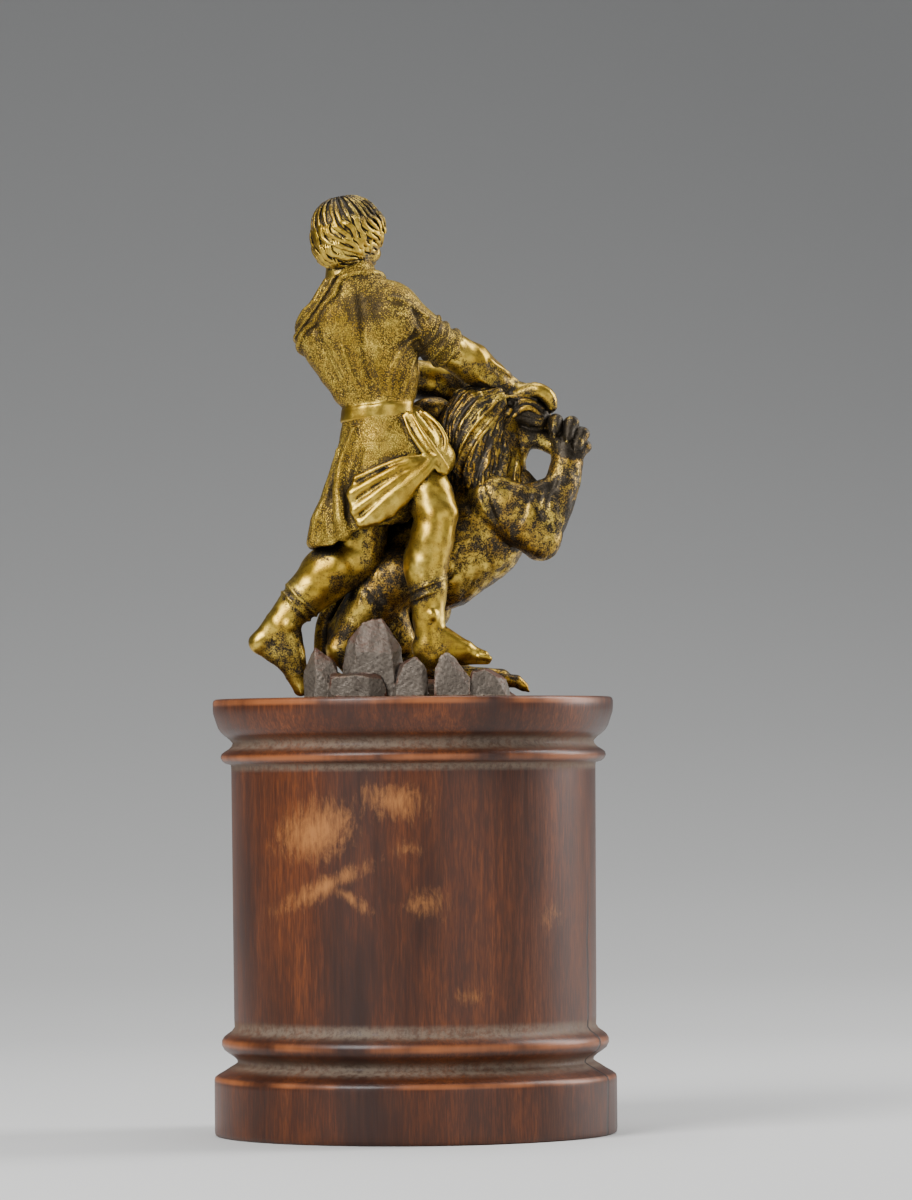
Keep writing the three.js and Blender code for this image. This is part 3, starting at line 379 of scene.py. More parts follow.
def headFields():
    flesh = melt(
        1.8,
        egg(onHead(-0.9, 0, 1.6), (8.6, 7.1, 7.8), headAxes),
        egg(onHead(2.6, 0, -2.8), (5.2, 5.3, 6.4), headAxes),
        chain(onHead(5.5, -1.1, -8.3, 1.6), onHead(5.5, 1.1, -8.3, 1.6)))
    jaw = melt(1.6, chain(onHead(-0.8, 4.9, -4.6, 1.2), onHead(4.4, 2.8, -8, 1.2)),
               chain(onHead(-0.8, -4.9, -4.6, 1.2), onHead(4.4, -2.8, -8, 1.2)))
    brow = melt(0.8, chain(onHead(6.4, -4.4, 0.9, 0.5), onHead(7.4, -2.4, 1.6, 0.7), onHead(7.5, -0.4, 1.1, 0.7)),
                chain(onHead(6.4, 4.4, 0.9, 0.5), onHead(7.4, 2.4, 1.6, 0.7), onHead(7.5, 0.4, 1.1, 0.7)))
    nose = melt(0.7, chain(onHead(7.7, 0, 0.6, 0.75), onHead(8.7, 0, -2, 0.8), onHead(9.4, 0, -3.9, 1.0)),
                chain(onHead(8.3, -1.2, -4.2, 0.65), onHead(8.3, 1.2, -4.2, 0.65)))
    cheeks = melt(1, egg(onHead(5.1, 3.5, -2.8), (2.4, 1.9, 2.2), headAxes),
                  egg(onHead(5.1, -3.5, -2.8), (2.4, 1.9, 2.2), headAxes))
    upperLip = chain(onHead(7.0, -1.7, -6.25, 0.35), onHead(7.7, -0.5, -5.95, 0.5), onHead(7.7, 0.5, -5.95, 0.5),
                     onHead(7.0, 1.7, -6.25, 0.35))
    lowerLip = chain(onHead(7.0, -1.2, -6.85, 0.4), onHead(7.5, 0, -6.95, 0.6), onHead(7.0, 1.2, -6.85, 0.4))
    parting = chain(onHead(7.6, -1.8, -6.45, 0.12), onHead(8.4, 0, -6.4, 0.14), onHead(7.6, 1.8, -6.45, 0.12))
    sockets = [egg(onHead(8.5, s * 2.6, -0.3), (2.1, 1.6, 1.15), headAxes) for s in (-1, 1)]
    face = carve(0.9, melt(1.1, flesh, jaw, brow, nose, cheeks), *sockets)
    eyes = [melt(0.25, egg(onHead(6.1, s * 2.6, -0.35), (1.35, 1.35, 1.2), headAxes),
                 chain(onHead(6.7, s * 1.5, -0.2, 0.22), onHead(7.4, s * 2.5, 0.42, 0.26), onHead(6.5, s * 3.8, -0.2, 0.22)),
                 chain(onHead(6.7, s * 1.5, -0.4, 0.2), onHead(7.3, s * 2.6, -1.05, 0.22), onHead(6.5, s * 3.8, -0.4, 0.2)))
            for s in (-1, 1)]
    face = melt(0.35, face, *eyes, upperLip, lowerLip)
    face = carve(0.3, face, parting)
    ears = []
    for s in (-1, 1):
        rim = smoothCurve([onHead(0.9, s * 6.5, -3.6, 0.45), onHead(-0.3, s * 7.3, -3.0, 0.5),
                           onHead(-1.0, s * 7.7, -1.2, 0.55), onHead(-0.4, s * 7.6, 0.4, 0.5),
                           onHead(0.9, s * 7.1, 0.3, 0.45)], 3)
        ears += [chain(*rim), egg(onHead(0.2, s * 6.7, -1.5), (1.4, 0.8, 2.1), headAxes)]
    neck = melt(2, chain((-16.4, -3.6, 100, 5.2), (-16, -2.6, 107.6, 4.8)),
                chain((-12.6, -4, 100, 4.6), (-14, -3.4, 106.6, 3.9)),
                chain((-11.8, -1.4, 99, 3.6), (-13.8, -2, 104.6, 3.2)))
    return melt(0.5, melt(0.7, face, neck), *ears)


# Hair: locks of three strands each, in rows down from the crown, laid on the hair mass and curled at their ends.
def hairField():
    cap = melt(2, egg(onHead(-0.9, 0, 1.9), head["capHalf"], headAxes),
               egg(onHead(-4.0, 0, -2.6), (6.0, 6.7, 6.4), headAxes))
    mass = carve(0.8, cap, egg(onHead(10.8, 0, -5.2), (9.4, 7.2, 10), headAxes))
    crown = np.array(head["crown"]) @ headAxes; crown /= np.linalg.norm(crown)
    front = headForward - crown * (headForward @ crown); front /= np.linalg.norm(front)
    side = np.cross(crown, front)
    paths, widths = [], []
    s = np.linspace(0, 1, 7)
    for top, bottom, locks, width, lift, curl in head["rows"]:
        for n in range(locks):
            turn = 2 * math.pi * (n + randomNumbers.uniform(-0.2, 0.2)) / locks
            shift = randomNumbers.uniform(-4, 4) if top > 10 else 0
            down = np.radians(top + shift + (bottom - top + randomNumbers.uniform(-5, 5)) * s)
            bend = randomNumbers.uniform(0.7, 1.1) * curl
            wave = 0.07 * np.sin(2 * math.pi * (s * 1.1 + turn)) * (top > 10)
            base = turn + 0.22 * s + wave + bend * s ** 2.6
            for strand in (-0.8, 0, 0.8):
                room = 0.72 if top < 10 else 0.85
                spread = strand * 2 * math.pi / locks / 3 * room * (1 - 0.75 * s ** 3)
                phi = base + spread
                way = (np.cos(down)[:, None] * crown + np.sin(down)[:, None]
                       * (np.cos(phi)[:, None] * front + np.sin(phi)[:, None] * side))
                paths.append(headCentre + way * 9.2)
                root = np.minimum(1, s / 0.3) if top > 10 else 1
                rise = lift * root + 0.2 * np.sin(math.pi * s) - 0.08 * abs(strand) + randomNumbers.uniform(-0.06, 0.06) - 0.35 * (1 - root)
                taper = np.minimum(1, np.sin(down) * 9 / locks * 4.2 / 3 / width)
                widths.append(np.stack([width * (0.75 + 0.3 * np.sin(math.pi * s)) * (1 - 0.45 * s ** 3) * taper * (0.35 + 0.65 * root), rise - 0.2]))
    places = settle(mass, np.vstack(paths), 0).reshape(len(paths), 7, 3)
    _, out = slopeOf(mass, places.reshape(-1, 3))
    out = (out / np.maximum(np.linalg.norm(out, axis=1), 1e-3)[:, None]).reshape(places.shape)
    toFace = (places[:, :, :] - headCentre) @ headAxes.T
    locks = []
    for place, normal, (width, rise), local in zip(places, out, widths, toFace):
        open_ = (local[:, 0] < 4.4) | (local[:, 2] > 2.6)
        if open_.sum() < 4:
            continue
        keep = len(open_) if open_.all() else max(int(np.argmin(open_)), 0)
        if keep < 4:
            continue
        rows = np.hstack([place + normal * rise[:, None], width[:, None]])
        rows[keep:] = rows[keep - 1]
        locks.append(rows)
    return nearOnly(headCentre, 15, melt(0.1, grown(mass, -0.34), strands(locks)))


# The man's tunic above the belt, with both sleeves and the cowl about the neck.
tunic = dict(cell=0.33, box=((-30, -20, 66), (14, 24, 112)), unevenness=0.12)

rightArm = [(-4.2, -5.6, 97.2, 6), (5.3, -2, 89.8, 5.1), (10.1, 0.6, 87, 4.8), (15.3, 3.6, 84.1, 4.9)]
leftArm = [(-20.5, -1, 92, 6.6), (-13, 9, 86, 5.6), (-6, 14, 81.6, 5.3), (5, 17, 80.4, 5.2)]


beltShape = ovalLoft([(69.3, -8.4, 9.1, -5, 6.9), (73.3, -8.2, 9, -5, 6.8)], 0.8)


def beltField(p):
    return beltShape(Places(p.x, p.y, p.z - 0.09 * (p.x + 8.4)))


def tunicFields():
    chest = ovalLoft([
        (66, -7.6, 9.0, -5, 6.5), (72, -8.2, 8.5, -5, 6.2), (76, -8.6, 10, -5, 6.6), (80, -9.7, 12, -5, 7.3),
        (85, -11.5, 13.5, -4.8, 8.2), (90, -12.6, 14.3, -4.5, 8.8), (95, -13, 12.6, -4.2, 8.6),
        (99, -13.4, 9.6, -4, 7.2), (103, -14, 6, -3.8, 5.4)], 2)
    shoulders = melt(
        3,
        chain((-20.3, -3, 92, 7), (-14.5, -4.5, 98, 6), (-4.4, -5.6, 97, 6)),
        chain((-16.4, -3.6, 101, 5.2), (-16, -2.6, 106, 4.6)),
        chain((-12.4, -4, 102, 5), (-13, -2.6, 106, 4.6)),
        chain((-5.5, -5.6, 98.5, 5), (-14, -4.6, 103, 4.4)))
    sideStrip = chain((-24.4, -3.4, 90, 3), (-21, -4.4, 83, 2.6), (-17.2, -5, 76, 1.8))
    blades = melt(1, egg((-3.4, -11.2, 93.4), (4.6, 1.6, 5.2)), egg((-18.2, -10.4, 93), (3.8, 2.4, 5.6)))
    sleeves = melt(1, chain(*rightArm[:3]), chain(*leftArm[:3], (-2.4, 14.9, 81.2, 5.4)))
    body = melt(2, melt(3, chest, shoulders, sideStrip), sleeves)
    body = melt(1.6, body, blades)
    groove = lambda *stations: chain(*laid(body, stations, 0.25))
    ridge = lambda *stations: chain(*laid(body, stations, 0.1))
    body = carve(
        1.4, body,
        groove((-8.4, -12.1, 75, 0.6), (-10.4, -14.2, 84, 1.0), (-11.2, -14.3, 93, 0.9), (-12.4, -11, 100, 0.4)),
        groove((-23.6, -10.6, 93, 0.3), (-21.2, -10.8, 84, 0.8), (-18, -9.6, 75.6, 0.5)))
    folds = [
        ridge((2.2, -8, 90, 0.3), (-1.4, -11, 86.6, 0.7), (-4.4, -12, 81, 0.5), (-5, -12, 75.4, 0.3)),
        ridge((1.4, -6.4, 86, 0.3), (0.2, -9.4, 82, 0.6), (-1.2, -10.4, 76, 0.4)),
        ridge((-16.4, -12.6, 76, 0.3), (-17.4, -12.4, 82, 0.6), (-20.2, -11, 90, 0.4)),
        ridge((-12.8, -12, 75, 0.3), (-14.6, -12.6, 80, 0.5), (-16.6, -12.6, 87, 0.3)),
        ridge((-2.4, -12, 95, 0.4), (1.6, -9.6, 92, 0.6), (3.4, -7.6, 88, 0.4)),
        ridge((-5, -11.4, 99, 0.4), (-0.4, -9.6, 97.4, 0.6), (3.4, -5.8, 94, 0.4)),
        ridge((-16, 3, 96, 0.4), (-13, 4.6, 90, 0.7), (-12.4, 3.6, 82, 0.5), (-11, 2, 76, 0.3)),
        ridge((-8, 1.4, 98, 0.4), (-6.6, 3.4, 90, 0.7), (-8, 2, 82, 0.5), (-8.6, 1.6, 76, 0.3)),
        ridge((0.4, 0, 94, 0.4), (-1.4, 1.6, 87, 0.7), (-4, 1, 80, 0.5), (-5, 0.6, 76, 0.3))]
    body = melt(0.9, body, *folds)
    cuffs = melt(
        0.35,
        band((6.4, -1.4, 89.3), (9, 5.6, -5.6), 5.7, 1.4), band((9, 0.1, 87.7), (9, 5.6, -5.6), 5.6, 1.4),
        band((3.9, -2.7, 91), (9, 5.0, -7), 5.75, 0.5),
        band((-2.4, 14.9, 81.2), (11, 2.8, -1), 6, 1.3), band((0.4, 15.6, 80.9), (11, 2.8, -1), 5.9, 1.3))
    edge = laid(body, [(-11, -8.6, 105.6, 0.75), (-16.6, -9, 104.4, 0.8), (-18.2, -10, 100.2, 0.85),
                       (-21.9, -10, 95, 0.85), (-25.4, -7, 90.6, 0.8), (-26.6, -4.6, 88.4, 0.7), (-25.6, -1.6, 86.6, 0.6)], 0.35)
    inner = laid(body, [(-17.6, -7, 104.4, 0.6), (-20.2, -8.2, 101.2, 0.65), (-23.4, -8, 95.4, 0.7),
                        (-26, -5.6, 91, 0.6), (-26, -2, 89.6, 0.5)], 0.4)
    wrap = laid(body, [(-19.2, -5, 103.4, 0.9), (-22.6, -5.6, 98.6, 1.1), (-25, -4, 94, 1.0), (-25, -1.4, 91.6, 0.7)], 0.1)
    front = [laid(body, rows, 0.2) for rows in (
        [(-11, -8.6, 105.6, 0.8), (-7.6, -5, 105, 0.9), (-7.4, -0.4, 103, 1.0), (-11.4, 3.2, 100.4, 1.1), (-16.4, 3.8, 99, 1.1), (-20.8, 1.6, 98.4, 1)],
        [(-9, 1, 100, 0.6), (-13, 4.6, 96, 0.9), (-18, 4.6, 95.4, 0.9), (-23, 1.6, 96, 0.7)],
        [(-8, 2, 96, 0.5), (-13, 4.6, 91.6, 0.8), (-19, 4, 91.6, 0.7)])]
    cowl = melt(0.5, chain(*edge), chain(*inner), chain(*wrap), *[chain(*row) for row in front])
    field = melt(0.45, body, cowl, cuffs)
    field = melt(0.3, field, beltField)
    return nearOnly((-9, 2, 88), 32, uneven(field, 6, 0.07, 3))


# Forearms and hands. The right hand grips the muzzle, the left goes round to the lower jaw.
arms = dict(cell=0.3, box=((0, -8, 60), (38, 26, 92)))


def armFields():
    right = melt(
        1.2, chain((8, 0, 87.8, 4.5), *rightArm[2:]),
        chain((15.3, 3.6, 84.1, 4.9), (20.2, 6.6, 80.6, 4.2), (23.6, 8.8, 77.6, 3.4), (27.5, 11.2, 76.2, 3.1)),
        egg((14.6, 2.2, 85), (4.4, 3.2, 3.6), ((0.83, 0.42, -0.38), (-0.45, 0.89, 0), (0.34, 0.17, 0.92))))
    tendons = [chain(*laid(right, rows, 0.05)) for rows in (
        [(18, 2.6, 84, 0.5), (22, 5.6, 81.2, 0.6), (26, 9, 79, 0.45)],
        [(17.4, 1.6, 80.6, 0.4), (21.6, 4.6, 78, 0.5), (25, 7.4, 75.6, 0.4)])]
    back = egg((28.2, 10.6, 77), (3.8, 4.6, 2.3), ((0.9, 0, -0.44), (0, 1, 0), (0.44, 0, 0.9)))
    fingers = []
    for i in range(4):
        y = 14.4 - 2.25 * i
        reach = (0.0, 0.4, 0.5, 0.3)[i]
        fingers += [
            chain((27.4, y - 0.3, 77.5, 1.4), (31.0 + reach, y, 77.9, 1.4)),
            chain((31.0 + reach, y, 77.9, 1.42), (34.0 + reach, y - 0.1, 75.7, 1.3)),
            chain((34.0 + reach, y - 0.1, 75.7, 1.3), (34.8 + reach, y - 0.4, 72.6, 1.05))]
    thumb = chain(*smoothCurve([(26.2, 6.6, 75.8, 1.7), (29.0, 5.6, 76.6, 1.9), (32.2, 5.0, 77.0, 2.0), (34.8, 4.8, 75.2, 1.85), (35.6, 5.0, 72.9, 1.2)], 3))
    hand = melt(0.35, melt(0.9, right, *tendons, back), *fingers, thumb)
    left = melt(
        1.2, chain((-4, 14.8, 81.4, 5), (5, 17, 80.4, 5.1), (10, 17.8, 79.2, 4.9), (16, 18.4, 76.4, 4.2),
                   (22.5, 17.6, 70.4, 3), (26.4, 16, 66.8, 2.9)),
        chain((9, 16, 77.6, 3.6), (15, 17, 74.6, 3.2)))
    leftFingers = [chain((26, 16.4 - 1.4 * i, 66.4, 1.5), (29.4, 14.8 - 1.8 * i, 64.2 + 0.2 * i, 1.3), (31.6, 12.6 - 1.8 * i, 63.8 + 0.3 * i, 1.1))
                   for i in range(4)]
    field = melt(0.5, hand, melt(0.5, left, *leftFingers))
    return uneven(field, 4, 0.05, 5)


# The tunic's skirt, with a fan of cloth caught up at the hip and two hanging strips.
skirt = dict(cell=0.34, box=((-31, -22, 33), (17, 14, 75)))
skirtRows = [
    (34, -14.5, 11.5, -3.4, 9.4), (44, -12.6, 11.8, -3.6, 9.8), (47, -10.6, 12.4, -3.8, 9.8),
    (52, -7.8, 12.9, -4.2, 9.6), (56, -5.8, 13.8, -4.4, 9.4), (61, -4.8, 13.9, -4.6, 9),
    (64.5, -5.4, 12.4, -4.8, 8.4), (69.5, -7.6, 9.4, -5, 6.9), (72, -7.8, 8.4, -5, 6.0)]


def skirtFields():
    cloth = ovalLoft(skirtRows, 1.5)

    def hem(p):
        angle = np.arctan2(p.y + 4, p.x + 10)
        height = 38.2 + 2.6 * np.clip((p.x + 19.2) / 1.8, 0, 1) + 0.21 * np.maximum(0, p.x + 17.4)
        return (height + 0.35 * np.sin(9 * angle) - p.z) * 0.9
    cut = lambda p: np.maximum(cloth(p), hem(p))
    hollow = egg((-9.5, -3.4, 39.6), (10.6, 7.2, 5.8))
    on = lambda lift, *stations: chain(*laid(cloth, stations, lift))
    ridges = [on(0.3, *rows) for rows in (
        [(-14.4, -11.4, 67, 0.7), (-18, -10.4, 57, 1.4), (-17.6, -12, 47, 1.7), (-16.4, -12.4, 40.6, 1.7)],
        [(-19.4, -8, 62, 0.5), (-21.6, -8.4, 54, 1.0), (-23.6, -8, 45, 1.3), (-24, -7.4, 39, 1.3)],
        [(-15.4, -1, 66, 0.9), (-20, -1, 54, 1.5), (-24, 0, 39, 1.7)],
        [(-12.4, 1, 66, 0.9), (-17, 4.4, 54, 1.7), (-19.6, 5, 39, 1.9)],
        [(-8, 2, 66, 0.9), (-9.5, 5, 54, 1.8), (-12, 6, 40, 2)],
        [(-3, 1, 66, 0.9), (-2, 5, 57, 1.9), (-4, 5.4, 45, 2)],
        [(1, -2, 66, 1.2), (6, 0, 58, 2.1), (4, 0, 50, 2.2)])]
    grooves = [on(0.2, *rows) for rows in (
        [(-12.6, -13.6, 62, 0.3), (-14.6, -14, 57, 0.8), (-15.8, -14.6, 51, 1.0), (-15.4, -14.6, 45, 0.8)],
        [(-19.8, -11.4, 57, 0.4), (-21.0, -11.2, 49.3, 0.8), (-20.2, -12, 42, 0.8)],
        [(-22.6, -5, 58, 0.4), (-24.6, -4.6, 48, 0.8), (-26, -4, 41, 0.7)],
        [(-17.6, 2, 62, 0.4), (-20.6, 3, 50, 0.9), (-22.6, 3, 41, 0.9)],
        [(-10.4, 5, 62, 0.4), (-13.6, 6, 50, 0.9), (-15.6, 6, 41, 0.9)],
        [(-3.4, 4.6, 62, 0.4), (-5.6, 5.6, 52, 0.9), (-7.6, 6, 44, 0.9)])]
    lip = []
    for n in np.linspace(0, 2 * math.pi, 15):
        x, y = -12 + 13.5 * math.cos(n), -3.6 + 10 * math.sin(n)
        z = 38.6 + 2.6 * min(1, max(0, (x + 19.2) / 1.8)) + 0.21 * max(0, x + 17.4)
        lip.append((x, y, z, 0.55))
    lip = chain(*laid(cloth, lip, -0.2))
    body = carve(1.0, melt(1.2, melt(0.6, cut, lip), *ridges), hollow, *grooves)

    knot = (6.4, -12.6, 59.6)
    ends = [(-13.4, -13.4, 54.4, 0.75), (-14.5, -13.9, 50.6, 1.35), (-13.8, -14.2, 46.4, 1.3), (-12.2, -14.3, 43.4, 1.2),
            (-8.6, -14.2, 44.2, 1.35), (-5.0, -13.9, 46.0, 1.3), (-1.8, -13.6, 48.8, 1.2), (1.2, -13.2, 52.2, 1.0)]
    pleats = []
    for i, (x, y, z, r) in enumerate(ends):
        lift = (1.7, 1.2, 0.7, 0.5, 0.3, 0.2, 0.1, 0.0)[i]
        middle = (0.45 * x + 0.55 * knot[0], min(y, -13) - 1.1, 0.45 * z + 0.55 * knot[2] + lift, r * 0.85)
        pleats.append(chain(*smoothCurve([(*knot, 0.8), middle, (x, y - 0.3, z, r)], 5)))
    sheet = egg((-6.2, -12.4, 51.2), (8.0, 2.7, 5.4), ((0.92, 0.06, 0.39), (0, 1, 0), (-0.39, 0, 0.92)))
    rim = chain(*smoothCurve([(x - 0.1, y - 0.1, z - 0.3, 0.8) for x, y, z, _ in ends], 3))
    hem2 = egg((-10.8, -12.5, 48.8), (3.7, 2.3, 5.4), ((0.94, 0, -0.34), (0, 1, 0), (0.34, 0, 0.94)))
    fan = melt(1.0, melt(1.2, sheet, rim, hem2), *pleats)
    strips = melt(
        0.6,
        chain(*smoothCurve([(-0.6, -10.4, 70.4, 0.9), (1.6, -11.2, 66, 1.2), (4.4, -12.0, 61.4, 1.4), (8.2, -12.2, 56.4, 1.5)], 3)),
        chain(*smoothCurve([(0.6, -11.2, 70.2, 0.45), (2.9, -12.6, 66, 0.55), (6, -13.6, 61.4, 0.6), (9.2, -13.4, 56.8, 0.5)], 3)),
        chain(*smoothCurve([(-1.6, -10.8, 70, 0.45), (0.2, -12.6, 65.6, 0.5), (3.2, -13.6, 61, 0.55), (7, -13.6, 56.2, 0.5)], 3)),
        chain(*smoothCurve([(2.6, -6, 71.2, 0.8), (5.2, -7.0, 68.4, 1.2), (7.2, -8.0, 64.4, 1.3), (7.4, -9.2, 61, 1.0)], 3)),
        chain(*smoothCurve([(3.6, -7, 71, 0.4), (6.8, -8.6, 68, 0.6), (8.8, -9.6, 64.2, 0.6), (8.4, -10.2, 61, 0.4)], 3)),
        chain((0.6, -3.4, 70, 3.2), (4, -4.4, 65, 4.2), (6.4, -6, 59.6, 4.8)))
    field = melt(0.55, body, fan, strips)
    return nearOnly((-7, -5, 54), 32, uneven(field, 5, 0.06, 8)), melt(0.2, fan, strips)


# Legs, with a double rolled band at the top of each boot.
legs = dict(cell=0.36, box=((-42, -21, -1), (24, 10, 62)))


def toes(root, way, across, count, length, radius):
    root, way, across = map(np.asarray, (root, way, across))
    parts = []
    for i in range(count):
        at = root + across * (i - (count - 1) / 2) - way * 0.35 * abs(i - 0.6)
        parts.append(chain((*at, radius * 1.05), (*(at + way * length * 0.6 + (0, 0, 0.25)), radius), (*(at + way * length), radius * 0.8)))
    return parts


def legFields():
    right = melt(
        1.2,
        chain((-2, -5, 60, 8), (4.6, -9.6, 50.5, 6), (6.2, -11.4, 45, 5.5), (5.2, -11.8, 39.5, 5.2)),
        chain((5.2, -11.8, 39.5, 5.2), (3.6, -11.4, 32, 5.4), (4.1, -11.8, 27, 4.8), (4.1, -12, 20, 3.8)),
        chain((4.1, -12, 20, 3.8), (4.6, -12, 13, 3.9), (6, -12.2, 10.8, 3.6), (13.4, -13, 11, 2.5), (17.6, -13.2, 10.2, 1.5)),
        chain((8, -12.4, 14.4, 3), (13, -13.4, 12, 2.2)),
        chain((3.0, -12, 12, 3.1), (4.4, -12.2, 9.8, 2.8)))
    form = melt(0.9, right, egg((8.4, -12.6, 45.6), (3.2, 3.2, 3.4)), egg((1.6, -9.8, 33.6), (3.6, 4.2, 6.4)),
                egg((6.8, -13.4, 37), (1.6, 2.6, 6)), egg((5.2, -15.6, 20.4), (1.1, 1.0, 1.3)))
    right = melt(0.35, form, *toes((16.8, -12.9, 10.0), (0.97, -0.04, -0.2), (0.05, 1.15, 0), 4, 2.6, 0.75),
                 chain((2.2, -12.2, 9.2, 1.0), (8, -13, 8.8, 1.1), (14, -13.4, 8.9, 1.0), (18.6, -13.4, 8.9, 0.8)))
    left = melt(
        1.2,
        chain((-11, -2, 58, 8), (-12.6, -1, 46, 7.2), (-13, -1, 35.4, 6.4), (-21, -2.4, 31.2, 6.7)),
        chain((-21, -2.4, 31.2, 6.7), (-26.5, -3, 25.8, 5.5), (-29.4, -3.5, 22.6, 4.6), (-32.8, -4, 18.8, 4), (-38, -4, 14, 2.4)),
        chain((-31.8, -4, 17, 4.2), (-30.6, -4, 11.6, 3.9), (-29, -4, 6.6, 2.9), (-27.9, -4.2, 2.6, 1.9)),
        chain((-38, -4, 14, 2.4), (-31.6, -4, 9.6, 2.6)))
    left = melt(0.9, left, egg((-37.6, -4, 14.4), (2.9, 2.9, 2.7)), egg((-30.4, -7.4, 18.4), (1.4, 1.1, 1.5)),
                egg((-19.4, -6, 32.6), (5, 3.6, 4.2)))
    left = melt(0.3, left, *toes((-27.7, -3.4, 2.9), (0.25, -0.05, -0.96), (0.16, 1.1, 0.02), 5, 1.6, 0.72))
    bands = melt(
        0.3,
        band((4, -11.6, 27.8), (-0.4, 0, 1), 5.5, 1.05), band((4.05, -11.7, 25.6), (-0.4, 0, 1), 5.2, 1.05),
        band((-27.6, -3.1, 24.6), (-0.72, 0, -0.69), 5.65, 1.05), band((-29.0, -3.3, 23.2), (-0.72, 0, -0.69), 5.25, 1.0))
    field = melt(0.4, nearOnly((3, -10, 34), 36, right), nearOnly((-22, -3, 30), 36, left), bands)
    return aboveGround(uneven(field, 5, 0.06, 11))


# The lion's body, with its legs and tail.
lion = dict(cell=0.43, box=((-27, -11, -1), (48, 27, 79)), strokes=900, strokeLength=3.4, strokeRadius=0.34)


